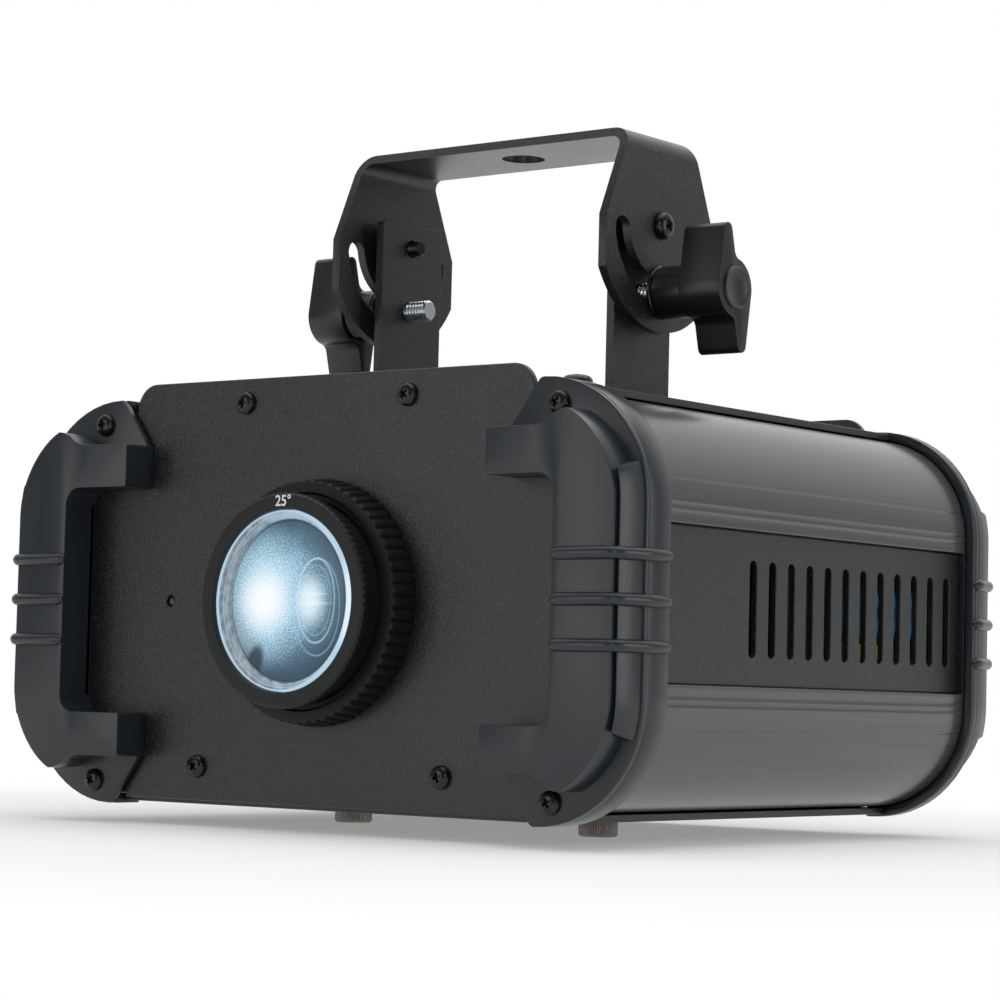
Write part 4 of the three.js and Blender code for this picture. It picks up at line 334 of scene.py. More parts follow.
# Settles a piece and its mirrored twin on the other side.
def settlePair(piece, node, first="right", second="left"):
    twin = copyOf(piece, piece.name.replace(first, second), acrossMirror)
    settle(piece, f"{node}_{first}")
    settle(twin, f"{node}_{second}")


# Places in the drawings to places in the frame.
def at(x, y, z):
    return Vector((x, y + plateFace, z)) * mm


# Half a turn about the middle of the body carries the front's pieces to the rear.
middle = at(0, rearFace / 2, 0)
turnedRound = Matrix.Translation(middle) @ Matrix.Rotation(math.pi, 4, "Z") @ Matrix.Translation(-middle)


# An outline that is the same above and below (up = -1) or left and right (across = -1), from half of each run.
def bothHalves(*runs, across=1, up=1):
    outline = []
    for half in runs:
        outline += half + [(u * across, v * up, radius) for u, v, radius in reversed(half)]
    return outline


def boxOutline(x, up, width, height, radius=0):
    low, high, left, right = up - height / 2, up + height / 2, x - width / 2, x + width / 2
    return [(left, low, radius), (right, low, radius), (right, high, radius), (left, high, radius)]


# Extrudes a flat outline of corners (u, v, radius) from one place along an axis to another.
def prism(corners, axis, start, end, origin=(0, 0, midZ), steps=10):
    bm = bmesh.new()
    index = "xyz".index(axis)
    verts = []
    for u, v, _ in corners:
        place = [u, v]
        place.insert(index, start)
        verts.append(bm.verts.new(at(*map(sum, zip(place, origin)))))
    bm.faces.new(verts)
    for radius in sorted({corner[2] for corner in corners if corner[2]}):
        picked = [vert for vert, corner in zip(verts, corners) if corner[2] == radius and vert.is_valid]
        bmesh.ops.bevel(bm, geom=picked, offset=radius * mm, offset_type="OFFSET", affect="VERTICES",
                        segments=steps, profile=0.5, material=-1, clamp_overlap=False)
    grown = bmesh.ops.extrude_face_region(bm, geom=bm.faces[:])
    moved = [item for item in grown["geom"] if isinstance(item, bmesh.types.BMVert)]
    along = Vector((0, 0, 0))
    along[index] = end - start
    bmesh.ops.translate(bm, vec=along * mm, verts=moved)
    bmesh.ops.recalc_face_normals(bm, faces=bm.faces)
    return bm


def joined(*parts):
    whole = bmesh.new()
    for part in parts:
        mesh = bpy.data.meshes.new("part")
        part.to_mesh(mesh)
        whole.from_mesh(mesh)
        bpy.data.meshes.remove(mesh)
        part.free()
    return whole


def softenEdges(bm, radius, angle=50, segments=2, keep=None):
    limit = math.radians(angle)
    edges = [edge for edge in bm.edges if edge.is_manifold and edge.calc_face_angle() > limit]
    if keep:
        edges = [edge for edge in edges if keep(edge)]
    bmesh.ops.bevel(bm, geom=edges, offset=radius * mm, offset_type="OFFSET", affect="EDGES",
                    segments=segments, profile=0.5, material=-1, clamp_overlap=True)
    return bm


# Turns a profile of (radius, along) pairs about an axis through the given place.
def lathe(profile, axis, centre, steps):
    bm = bmesh.new()
    unit = Matrix.Identity(3)
    turnAxis, out = unit["xyz".index(axis)], unit[2 if axis == "x" else 0]
    base = at(*centre)
    origin = base - turnAxis * base.dot(turnAxis)
    shift = plateFace if axis == "y" else 0
    verts = [bm.verts.new(origin + (turnAxis * (along + shift) + out * radius) * mm) for radius, along in profile]
    edges = [bm.edges.new(pair) for pair in zip(verts, verts[1:])]
    if profile[0][0] > 0:
        edges.append(bm.edges.new((verts[-1], verts[0])))
    bmesh.ops.spin(bm, geom=verts + edges, cent=origin, axis=turnAxis, angle=2 * math.pi, steps=steps,
                   use_merge=True)
    bmesh.ops.remove_doubles(bm, verts=bm.verts, dist=weld["turned"])
    bmesh.ops.recalc_face_normals(bm, faces=bm.faces)
    return bm


def cylinder(radius, axis, low, high, centre, steps=32):
    return lathe([(0, low), (radius, low), (radius, high), (0, high)], axis, centre, steps)


# Settles a piece that has its node's name.
def addPiece(node, bm, merged=True, **choices):
    return settle(finishMesh(node.replace("_", "-"), bm, merged), node, **choices)


def addTurned(node, profile, centre, steps):
    addPiece(node, lathe(profile, "y", centre, steps))


def evaluatedMesh(thing):
    graph = bpy.context.evaluated_depsgraph_get()
    return bpy.data.meshes.new_from_object(thing.evaluated_get(graph))


# Cuts closed shapes out of a piece, or keeps only what lies in them.
def carve(piece, *shapes, operation="DIFFERENCE"):
    cutter = finishMesh("cutter", joined(*shapes), merged=False)
    cut = piece.modifiers.new("cut", "BOOLEAN")
    cut.object = cutter
    cut.operation = operation
    cut.solver = "EXACT"
    done = evaluatedMesh(piece)
    piece.modifiers.clear()
    piece.data = done
    bpy.data.objects.remove(cutter)
    done.shade_smooth()
    done.set_sharp_from_angle(angle=softAngle)
    return piece


edgeModifier = dict(segments=2, angle=30)


def roundEdges(piece, radius):
    soft = piece.modifiers.new("softEdges", "BEVEL")
    soft.width = radius * mm
    soft.segments = edgeModifier["segments"]
    soft.limit_method = "ANGLE"
    soft.angle_limit = math.radians(edgeModifier["angle"])
    soft.harden_normals = False
    return piece


# A finished piece's mesh, opened again to be joined to others.
def opened(piece):
    bm = bmesh.new()
    bm.from_mesh(piece.data)
    bpy.data.objects.remove(piece)
    return bm


# The mesh of a curve or text, which is used up.
def meshOf(source):
    thing = addObject(source.name, source)
    mesh = evaluatedMesh(thing)
    bm = bmesh.new()
    bm.from_mesh(mesh)
    bpy.data.objects.remove(thing)
    bpy.data.curves.remove(source)
    bpy.data.meshes.remove(mesh)
    return bm


# Moves the outer band of a turned shape in and out, `count` times round it.
def fluted(bm, axis, centre, beyond, count, depth, narrow=1):
    hub = at(*centre)
    first, second = (index for index in range(3) if index != "xyz".index(axis))
    for vert in bm.verts:
        across, up = vert.co[first] - hub[first], vert.co[second] - hub[second]
        radius = math.hypot(across, up)
        if radius > beyond * mm:
            angle = math.atan2(up, across)
            share = 1 - depth * mm * (0.5 - 0.5 * math.cos(angle * count)) ** narrow / radius
            vert.co[first] = hub[first] + across * share
            vert.co[second] = hub[second] + up * share
    return bm


thread = dict(lead=0.4, tip=0.82, root=0.9, rows=8, around=32)


# A screw thread as a turned bar whose surface is moved in and out along a helix.
def threaded(radius, low, high, centre, pitch, depth):
    rows = int((high - low) / pitch * thread["rows"])
    lead, tip = thread["lead"], radius * thread["tip"]
    profile = [(0, low), (tip, low)]
    profile += [(radius, low + lead + (high - low - 2 * lead) * i / rows) for i in range(rows + 1)]
    profile += [(tip, high), (0, high)]
    bm = lathe(profile, "x", centre, thread["around"])
    hub = at(*centre)
    for vert in bm.verts:
        across, up = vert.co.y - hub.y, vert.co.z - hub.z
        if math.hypot(across, up) > radius * thread["root"] * mm:
            phase = vert.co.x / (pitch * mm) + math.atan2(up, across) / (2 * math.pi)
            share = 1 - depth / radius * abs(2 * (phase % 1) - 1)
            vert.co.y, vert.co.z = hub.y + across * share, hub.z + up * share
    return bm


guard = dict(halfWidth=122.5, halfHeight=64.7, corner=37.2, wall=3.1, flangeFront=-2.75, flangeBack=-0.3,
             flangeEdge=0.6, armEnd=72.3, armIn=35.8, armOut=49.5, armEdge=0.8, barInner=97.6, barBend=5.5,
             barOuter=118.7, barFront=-13.7, barSteps=12, barEdge=0.55,
             barShoulder=[(92.6, 49.5, 3), (98.2, 53.6, 2.5), (101.8, 54.0, 0)], barCorner=(46.3, 18.6),
             cantLength=15.2, cantDrop=1.2, tabCorner=84, skirtStart=83, skirtFront=9.5, skirtRear=2.4, skirtEdge=0.5,
             padFront=-12.3, padHalf=40, padTaper=0.075, padCuts=31, padEdge=0.3,
             padSection=[(119.8, -12.3), (120.0, -12.2), (122.2, -0.4), (116, -0.4), (116, -8.1), (119.8, -8.1)],
             armBend=3, tabBend=1, wrapLap=1, faceDeep=3, ribs=3, ribPitch=12.9, ribRadius=1.95,
             ribPath=[(98.1, -12.6, 0.25), (98.4, -13.2, 0.7), (99.2, -13.6, 0.95), (100.4, -13.7, 1),
                      (117.6, -13.7, 1), (118.8, -13.4, 1), (119.8, -12.2, 1), (120.4, -9.9, 1), (121.9, -3.2, 1),
                      (122.4, -1.0, 1)],
             ribEnd=[(122.4, -2.6, 1), (122.4, -1.4, 0.85), (122.2, -0.4, 0.4)])


def guardPlan(outer, inner, front, back, steps=14):
    return prism(bothHalves(outer, inner, up=-1), "y", back, front, steps=steps)


# The strip along the guard's side: a sloping face with a narrow channel between it and the bar.
def guardPad():
    g = guard
    half, radius, front = g["padHalf"], g["corner"], g["padFront"]
    bm = prism([(x, y, 0) for x, y in g["padSection"]], "z", midZ - half, midZ + half, (0, 0, 0))
    lengthwise = [edge for edge in bm.edges if abs(edge.verts[0].co.z - edge.verts[1].co.z) > mm]
    bmesh.ops.subdivide_edges(bm, edges=lengthwise, cuts=g["padCuts"], use_grid_fill=True)
    straight = g["halfHeight"] - radius
    for vert in bm.verts:
        forward = plateFace - vert.co.y / mm
        up = (vert.co.z / mm - midZ) * (1 + g["padTaper"] * max(0, forward) / front)
        past = max(0, abs(up) - straight)
        vert.co.z = (midZ + up) * mm
        vert.co.x -= (radius - math.sqrt(radius ** 2 - past ** 2)) * mm
    return softenEdges(bm, g["padEdge"])


def guardBody(skirt):
    g = guard
    half, high, wall, start, radius = g["halfWidth"], g["halfHeight"], g["wall"], g["skirtStart"], g["corner"]
    armEnd, armIn, armOut = g["armEnd"], g["armIn"], g["armOut"]
    inner = [(g["barInner"], -armIn, g["barBend"])]
    outer = [(armEnd, armIn, 0), (armEnd, armOut, g["armBend"]), (g["tabCorner"], high, g["tabBend"]),
             (half, high, radius)]
    flange = softenEdges(guardPlan(outer, inner, g["flangeFront"], g["flangeBack"]), g["flangeEdge"])
    within = [(start, wall - high, 0), (half - wall, wall - high, radius - wall)]
    wrap = guardPlan([(start, high, 0), (half, high, radius)], within, g["flangeBack"] - g["wrapLap"], skirt)
    softenEdges(wrap, g["skirtEdge"])
    outer = [(armEnd, armIn, g["armEdge"]), (armEnd, armOut, g["armEdge"]), *g["barShoulder"],
             (g["barOuter"], *g["barCorner"])]
    bar = guardPlan(outer, inner, g["barFront"], g["flangeBack"], g["barSteps"])
    cantAt = at(armEnd + g["cantLength"], 0, 0)
    whole = bar.verts[:] + bar.edges[:] + bar.faces[:]
    bmesh.ops.bisect_plane(bar, geom=whole, plane_co=cantAt, plane_no=(1, 0, 0))
    front = at(0, g["barFront"], 0).y
    for vert in bar.verts:
        if vert.co.y < front + mm and vert.co.x < cantAt.x:
            vert.co.y += g["cantDrop"] / g["cantLength"] * (cantAt.x - vert.co.x)
    deepest = front + g["faceDeep"] * mm
    softenEdges(bar, g["barEdge"], angle=40, segments=3, keep=lambda edge: max(v.co.y for v in edge.verts) < deepest)
    return joined(flange, wrap, bar, guardPad())


# A rib over the bar's face, round its corner and along the guard's side, as a round bar let into it.
def guardRib(skirt, up):
    path = guard["ribPath"] + [(x, skirt + y, size) for x, y, size in guard["ribEnd"]]
    curve = bpy.data.curves.new("rib", "CURVE")
    curve.dimensions = "3D"
    curve.bevel_depth = guard["ribRadius"] * mm
    curve.bevel_resolution = 4
    curve.use_fill_caps = True
    line = curve.splines.new("POLY")
    line.points.add(len(path) - 1)
    for point, (x, y, size) in zip(line.points, path):
        point.co = (*at(x, y, midZ + up), 1)
        point.radius = size
    return meshOf(curve)


def addGuards():
    g = guard
    for end, skirt in (("front", g["skirtFront"]), ("rear", g["skirtRear"])):
        ribs = [guardRib(skirt, (i - 1) * g["ribPitch"]) for i in range(g["ribs"])]
        made = finishMesh("cornerGuard", joined(guardBody(skirt), *ribs), merged=False)
        hands = ["right", "left"]
        if end == "rear":
            made.data.transform(turnedRound)
            hands.reverse()
        made.name = f"guard-{end}-{hands[0]}"
        settlePair(made, f"guard_{end}", *hands)


shell = dict(halfWidth=119, halfHeight=61.2, corner=33.7, wall=2.5, front=2.3, back=186.1, innerEnd=76.2, lip=112.7,
             lipStep=114.7, lipOver=4.5, lipUnder=4, sideEdge=0.4, panelHalf=23.15, panelGap=0.3, panelFace=117,
             panelThick=2, panelEdge=0.25, vents=12, ventFirst=61.2, ventPitch=10.6, ventWidth=3.9, ventHeight=29,
             grooves=(26.35, 28.75, 36.35), grooveRadius=0.9, grooveInset=0.72, port=1.7, portDown=5)
nearlyHalf = 0.49   # the roundest that an end of a slot may be, as a share of its width


def addExtrusions():
    s = shell
    half, high, wall, radius, edge = s["halfWidth"], s["halfHeight"], s["wall"], s["corner"], s["panelHalf"]
    bm = prism([
        (half, edge, s["sideEdge"]), (half, high, radius), (s["innerEnd"], high, 0), (s["innerEnd"], high - wall, 0),
        (half - wall, high - wall, radius - wall), (half - wall, edge + s["lipOver"], 0),
        (s["lip"], edge + s["lipOver"], 0), (s["lip"], edge - s["lipUnder"], 0),
        (s["lipStep"], edge - s["lipUnder"], 0), (s["lipStep"], edge, 0),
    ], "y", s["front"], s["back"], steps=22)
    made = finishMesh("extrusion-upper-right", bm)
    low, top = s["front"] - spare, s["back"] + spare
    tools = []
    for up in s["grooves"]:
        above = max(0, up - (high - radius))
        across = half - radius + math.sqrt(radius ** 2 - above ** 2) + s["grooveInset"]
        tools.append(cylinder(s["grooveRadius"], "y", low, top, (across, 0, midZ + up), sides["groove"]))
    centre = (half - radius, 0, midZ + high - s["portDown"])
    tools.append(cylinder(s["port"], "y", low, top, centre, sides["port"]))
    carve(made, *tools)
    flip = Matrix.Translation((0, 0, 2 * midZ * mm)) @ Matrix.Diagonal((1, 1, -1, 1))
    lower = copyOf(made, "extrusion-lower-right", flip)
    settlePair(made, "extrusion_upper")
    settlePair(lower, "extrusion_lower")


def addPanels():
    s = shell
    face, thick, width = s["panelFace"], s["panelThick"], s["ventWidth"]
    plate = boxOutline((s["front"] + s["back"]) / 2, 0, s["back"] - s["front"], 2 * (s["panelHalf"] - s["panelGap"]))
    made = finishMesh("panel-right", prism(plate, "x", face - thick, face))
    slots = [boxOutline(s["ventFirst"] + i * s["ventPitch"], 0, width, s["ventHeight"], width * nearlyHalf)
             for i in range(s["vents"])]
    carve(made, *[prism(slot, "x", face - thick - spare, face + spare, steps=6) for slot in slots])
    roundEdges(made, s["panelEdge"])
    settlePair(made, "side_panel")


plates = dict(half=119, high=61.2, corner=33.7, tabHalf=80, tabTop=69.5, tabBottom=62.5, tabRadius=8, thick=2,
              lensHole=33.2, sensorX=-63, sensorHole=1.8, edge=0.35)


def endPlate(name, start, end):
    p = plates
    half, high, tab, radius = p["half"], p["high"], p["tabHalf"], p["corner"]
    lower = [(-half, -high, radius), (-tab, -high, 0), (-tab, -p["tabBottom"], 0)]
    upper = [(half, high, radius), (tab, high, 0), (tab, p["tabTop"], p["tabRadius"])]
    return finishMesh(name, prism(bothHalves(lower, upper, across=-1), "y", start, end, steps=16))


def addFrontPlate():
    p = plates
    made = endPlate("front-plate", p["thick"], 0)
    low, high = -spare, p["thick"] + spare
    carve(made, cylinder(p["lensHole"], "y", low, high, lensCentre, sides["lens"]),
          cylinder(p["sensorHole"], "y", low, high, (p["sensorX"], 0, midZ), sides["sensorHole"]))
    settle(roundEdges(made, p["edge"]), "front_plate")


lensGroup = dict(glassRadius=27.3, glassEdge=-16.9, glassApex=-18.05, domeSteps=10,
                 seat=[(27.3, -13.9), (28.4, -13.9), (28.4, -9.4), (0, -9.4)], ringKnurls=84, ringSteps=6,
                 ringDepth=0.45, ringBand=32.2,
                 ring=[(27.5, -14.0), (27.5, -17.7), (27.9, -18.15), (31.5, -18.15), (31.75, -18.12), (31.9, -18.0),
                       (32.15, -17.7), (32.6, -17.5), (32.6, -14.5), (32.3, -14.0)],
                 focusFlutes=63, focusSteps=8, focusDepth=0.85, focusBand=36.5,
                 focus=[(33.2, -0.3), (33.2, -9.3), (36.0, -9.3), (36.3, -9.2), (36.7, -8.8), (36.9, -8.3),
                        (37.35, -4.5), (37.8, -0.8), (37.6, -0.3)],
                 mark="25°", markSize=4.6, markUp=28.5, markBold=0.07, markDeep=0.02, markFace=-18.16,
                 tube=[(30.9, -8.1), (31.3, -8.5), (32.5, -8.5), (32.9, -8.1), (32.9, 2.3), (42, 2.3), (42, 5.3),
                       (32.9, 5.3), (32.9, 46), (30.9, 46)],
                 barrel=[(28.8, -13.7), (30.3, -13.7), (30.6, -13.4), (30.6, 42), (27, 42), (27, -9.1), (28.8, -9.1)])
lensUp = -0.6
lensCentre = (0, 0, midZ + lensUp)


def addLens():
    g = lensGroup
    ring = lathe(g["ring"], "y", lensCentre, g["ringKnurls"] * g["ringSteps"])
    fluted(ring, "y", lensCentre, g["ringBand"], g["ringKnurls"], g["ringDepth"], narrow=2)
    addPiece("front_ring", ring)
    focus = lathe(g["focus"], "y", lensCentre, g["focusFlutes"] * g["focusSteps"])
    fluted(focus, "y", lensCentre, g["focusBand"], g["focusFlutes"], g["focusDepth"], narrow=4)
    addPiece("focus_ring", focus, finish="ring_plastic")
    rise, steps = g["glassEdge"] - g["glassApex"], g["domeSteps"]
    dome = [(g["glassRadius"] * i / steps, g["glassApex"] + rise * (i / steps) ** 2) for i in range(steps + 1)]
    finishes["lit_lens"] = paintedLensGlow()
    addPiece("front_lens", lathe(dome + g["seat"], "y", lensCentre, sides["lens"]), finish="lit_lens")
    letters = bpy.data.curves.new("mark", "FONT")
    letters.body = g["mark"]
    letters.size = g["markSize"] * mm
    letters.extrude = g["markDeep"] * mm
    letters.offset = g["markBold"] * mm
    letters.align_x = "CENTER"
    mark = meshOf(letters)
    stand = Matrix.Translation(at(0, g["markFace"], lensCentre[2] + g["markUp"])) @ Matrix.Rotation(math.pi / 2, 4, "X")
    bmesh.ops.transform(mark, matrix=stand, verts=mark.verts)
    settle(finishMesh("angle-mark", mark), "front_ring", slot="white_board", stands=False)


# The lit lens, all painted light in its emission: a painted white-hot middle in painted blue haze, the source's round
# image beside it as a painted reflection, and a pale rim with painted highlights.
def paintedLensGlow():
    material = newMaterial("litLens")
    tree = material.node_tree
    size = 1 / (lensGroup["glassRadius"] * mm)
    fitted = {"Vector": addNode(tree, "ShaderNodeTexCoord")["Object"], "Scale": (size, 0, size),
              "Location": (0, 0, -lensCentre[2] * mm * size)}
    place = addNode(tree, "ShaderNodeMapping", fitted)[0]

    def spot(centre, spread, inner, outer, turn=0):
        fit = {"Vector": place, "Location": (centre[0], 0, centre[1]), "Rotation": (0, math.radians(turn), 0),
               "Scale": (spread[0], 1, spread[1])}
        put = addNode(tree, "ShaderNodeMapping", fit, vector_type="TEXTURE")[0]
        return ramp(tree, lengthOf(tree, put), inner, outer, 1, 0)

    def ringOf(centre, spread, radius, half):
        wide = spot(centre, spread, radius, radius + half)
        return mathNode(tree, "SUBTRACT", wide, spot(centre, spread, radius - half, radius))

    def specks(scale, detail, low, high):
        return ramp(tree, noise(tree, place, scale, detail), low, high, shape="LINEAR")

    def times(first, second):
        return mathNode(tree, "MULTIPLY", first, second)

    # Lays colours over one another, each a colour with its mask and share.
    def layered(under, *layers):
        for over, mask, share in layers:
            amount = mask if share == 1 else times(mask, share)
            pair = ((*item, 1) if isinstance(item, tuple) else item for item in (under, over))
            under = mixColour(tree, amount, *pair)
        return under

    # Every colour below is emitted: painted light, not lamplight falling on the glass.
    bright, dark = specks(60, 2, 0.50, 0.64), specks(42, 3, 0.48, 0.66)
    cloud = mathNode(tree, "ADD", specks(2.6, 4, 0.25, 0.75), 0.5)
    haze = times(spot((-0.05, 0.05), (0.86, 0.78), 0.20, 1.20), cloud)
    glow = spot((-0.24, 0.06), (0.62, 0.72), 0.0, 1.25)
    hot = spot((-0.24, 0.0), (0.42, 0.40), 0.05, 1.2)
    # The picture in the opening is painted glow: haze and a hot middle, two painted dark patches low on the left, and
    # the source's round image at the right as a painted reflection with painted streaks and rings.
    view = layered(
        (0.028, 0.066, 0.105),
        ((0.16, 0.40, 0.60), haze, 1),
        ((0.16, 0.15, 0.18), spot((-0.56, -0.42), (0.22, 0.30), 0.2, 1.0), 0.6),
        ((0.030, 0.070, 0.110), dark, 0.55),
        ((0.50, 0.81, 0.97), glow, 0.9),
        ((0.78, 0.93, 1.0), times(bright, haze), 0.85),
        ((1.0, 1.0, 1.0), hot, 1),
        ((1.0, 1.0, 1.0), times(bright, glow), 0.8),
        ((0.20, 0.46, 0.66), times(dark, glow), 0.22),
        ((0.86, 0.96, 1.0), spot((0.42, 0.0), (0.24, 0.32), 0.1, 1.2), 0.8),
        ((0.80, 0.93, 1.0), spot((0.46, -0.03), (0.20, 0.022), 0.2, 1.6), 0.45),
        ((0.80, 0.93, 1.0), spot((0.46, 0.07), (0.15, 0.018), 0.2, 1.6), 0.4),
        ((0.62, 0.84, 0.94), ringOf((0.50, 0.00), (0.26, 0.46), 1.0, 0.045), 0.5),
        ((0.46, 0.68, 0.80), ringOf((0.50, 0.00), (0.21, 0.38), 1.0, 0.035), 0.35),
        ((0.44, 0.66, 0.78), ringOf((0.51, -0.07), (0.32, 0.53), 1.0, 0.035), 0.35),
        ((0.015, 0.028, 0.045), spot((-0.38, -0.68), (0.14, 0.24), 0.5, 1.1, 24), 0.92))
    band = layered((0.16, 0.19, 0.22), ((0.40, 0.50, 0.58), specks(9, 4, 0.4, 0.7), 0.7))
    # Thin pale rings on the rim: painted lines of reflected light.
    paintedRimLines = [((0.50, 0.66, 0.78), ringOf((across, 0.0), (0.90 + wider, 0.955 + wider), 1.0, 0.009), share)
                 for across, wider, share in ((0.02, 0.0, 0.8), (0.035, -0.022, 0.5), (0.05, -0.036, 0.5))]
    # The rim glows pale as painted light, with a dim painted band inside it and painted highlights at its right and
    # top.
    rim = layered(
        (0.44, 0.62, 0.76),
        (band, spot((-0.03, 0.0), (0.93, 0.985), 0.985, 1.0), 1),
        *paintedRimLines,
        ((0.70, 0.86, 0.97), spot((0.98, -0.1), (0.20, 0.72), 0.3, 1.1), 1),
        ((0.40, 0.56, 0.70), spot((0.0, 0.95), (0.7, 0.10), 0.3, 1.2), 0.6))
    opening = ((0.08, 0.0), (0.84, 0.905))
    shown = layered(rim, (view, spot(*opening, 0.985, 1.005), 1),
                    ((0.02, 0.03, 0.04), ringOf(*opening, 0.975, 0.02), 0.6))
    feed(tree, tree.nodes["Principled BSDF"], {
        "Emission Color": shown, "Emission Strength": 1, "Base Color": (0.01, 0.015, 0.02, 1), "Roughness": 0.16,
        "Specular IOR Level": 0.25})
    return material


hanging = dict(back=96.6, pivot=195.3, stud=173.5, armOuter=56.6, sheet=3, top=225.1, bend=4, half=30.3, strip=17.3,
               armBlank=36, footRadius=34.6, footCorners=6, footShare=0.995, topClear=0.01, hole=7.2, holeDeep=5,
               pivotHole=3.0, slotRadius=21.8, slotWidth=8.2, slotHalf=80, uprightOuter=49.8, uprightHalf=15.7,
               uprightTop=203.3, uprightCorner=2, baseBottom=134.7, baseBend=3, studHole=3.9, edge=0.45)


def bentSheet(name, outer, closed, opening, bend, half):
    sheet, back = hanging["sheet"], hanging["back"]
    inward = sheet if closed < opening else -sheet
    outline = bothHalves([(-outer, opening, 0), (-outer, closed, bend + sheet)],
                         [(outer - sheet, opening, 0), (outer - sheet, closed + inward, bend)], across=-1)
    return finishMesh(name, prism(outline, "y", back - half, back + half, (0, 0, 0)))


# Keeps what lies in an outline that is seen from the side.
def trimSides(piece, corners, outer, steps=12):
    shape = prism(corners, "x", -outer - spare, outer + spare, (0, hanging["back"], 0), steps)
    carve(piece, shape, operation="INTERSECT")


# The curved slot on one side, cut by a bar swept round the pivot and a round end at each limit.
def cutSlot(yoke, side):
    h = hanging
    low, high = sorted((side * (h["armOuter"] - h["sheet"] - spare), side * (h["armOuter"] + spare)))
    pivotAt = at(0, h["back"], h["pivot"])
    half, sweep = h["slotWidth"] / 2, math.radians(2 * h["slotHalf"])
    start = math.radians(-90 - h["slotHalf"])
    out = Vector((0, math.cos(start), math.sin(start)))
    bm = bmesh.new()
    verts = [bm.verts.new(pivotAt + Vector((x * mm, 0, 0)) + out * (h["slotRadius"] + reach) * mm)
             for x, reach in ((low, -half), (high, -half), (high, half), (low, half))]
    bmesh.ops.spin(bm, geom=[bm.faces.new(verts)], cent=pivotAt, axis=(1, 0, 0), angle=sweep, steps=sides["slot"])
    bmesh.ops.holes_fill(bm, edges=bm.edges)
    bmesh.ops.recalc_face_normals(bm, faces=bm.faces)
    carve(yoke, bm)
    ends = [(0, h["back"] + h["slotRadius"] * math.cos(angle), h["pivot"] + h["slotRadius"] * math.sin(angle))
            for angle in (start, start + sweep)]
    carve(yoke, *[cylinder(half, "x", low, high, end, sides["slotEnd"]) for end in ends])


# The arm's foot is round about the pivot: a few corners, each rounded almost as far as its neighbours.
def footCorners():
    h = hanging
    radius, count = h["footRadius"], h["footCorners"]
    side = math.acos(h["half"] / radius)
    step = (math.pi - 2 * side) / count
    reach, cut = radius / math.cos(step / 2), radius * math.tan(step / 2) * h["footShare"]
    angles = [-math.pi + side + (i + 0.5) * step for i in range(count)]
    return [(reach * math.cos(angle), h["pivot"] + reach * math.sin(angle), cut) for angle in angles]


def addYoke():
    h = hanging
    half, strip, outer, pivot = h["half"], h["strip"], h["armOuter"], h["pivot"]
    foot, top = pivot - math.sqrt(h["footRadius"] ** 2 - half ** 2), h["top"] + h["topClear"]
    made = bentSheet("yoke", outer, h["top"], pivot - h["armBlank"], h["bend"], half)
    trimSides(made, [(-half, pivot, 0), (-half, foot, 0), *footCorners(), (half, foot, 0), (half, pivot, 0),
                     (strip, top, 0), (-strip, top, 0)], outer, steps=8)
    for side in (-1, 1):
        cutSlot(made, side)
    carve(made, cylinder(h["pivotHole"], "x", -outer - spare, outer + spare, (0, h["back"], pivot)),
          cylinder(h["hole"], "z", h["top"] - h["holeDeep"], h["top"] + spare, (0, h["back"], 0), sides["clamp"]))
    settle(roundEdges(made, h["edge"]), "yoke")
    half, outer, low, high = h["uprightHalf"], h["uprightOuter"], h["baseBottom"], h["uprightTop"]
    base = bentSheet("yoke-base", outer, low, high, h["baseBend"], half)
    trimSides(base, [(-half, low - spare, 0), (half, low - spare, 0), (half, high, h["uprightCorner"]),
                     (-half, high, h["uprightCorner"])], outer)
    for z, radius in ((pivot, h["pivotHole"]), (h["stud"], h["studHole"])):
        carve(base, cylinder(radius, "x", -outer - spare, outer + spare, (0, h["back"], z)))
    settle(roundEdges(base, h["edge"]), "yoke_base")


clamp = dict(wingBack=69.9, wingFace=85.4, lean=14, edge=0.4,
             wing=[(2.35, 20.8, 2.3), (-1.56, 20.8, 1.56), (-12.28, -4.71, 9.1), (-2.35, -9.40, 1.9)],
             boss=[(3.9, 58.4), (8.0, 58.4), (8.5, 58.9), (8.5, 83.4), (3.9, 83.4)],
             cap=[(0, 84.4), (6.9, 84.4), (6.9, 85.8), (6.4, 86.2), (5.8, 85.85), (0, 85.85)],
             washer=[(3.9, 56.9), (8.3, 56.9), (8.6, 57.2), (8.6, 57.8), (8.3, 58.1), (3.9, 58.1)],
             spacer=[(3.0, 50.1), (7.6, 50.1), (8.0, 50.5), (8.0, 52.9), (7.6, 53.3), (3.0, 53.3)],
             stud=dict(radius=3.6, low=38.5, high=70.1, pitch=1.25, depth=0.42),
             shank=dict(radius=2.7, low=43.2, high=50.4, pitch=1.0, depth=0.4),
             neckRadius=2.95, neckIn=50, pivotSeat=56.9, pivotHead=4.5, pivotTurn=0.5)


# The knob's outline: two wings on a round hub, each with one flank straight off the hub and one filleted.
def knobOutline():
    turn = math.radians(clamp["lean"])
    outline = []
    for sign in (1, -1):
        for p, q, cut in clamp["wing"]:
            p, q = p * sign, q * sign
            outline.append((p * math.cos(turn) - q * math.sin(turn), p * math.sin(turn) + q * math.cos(turn), cut))
    return outline


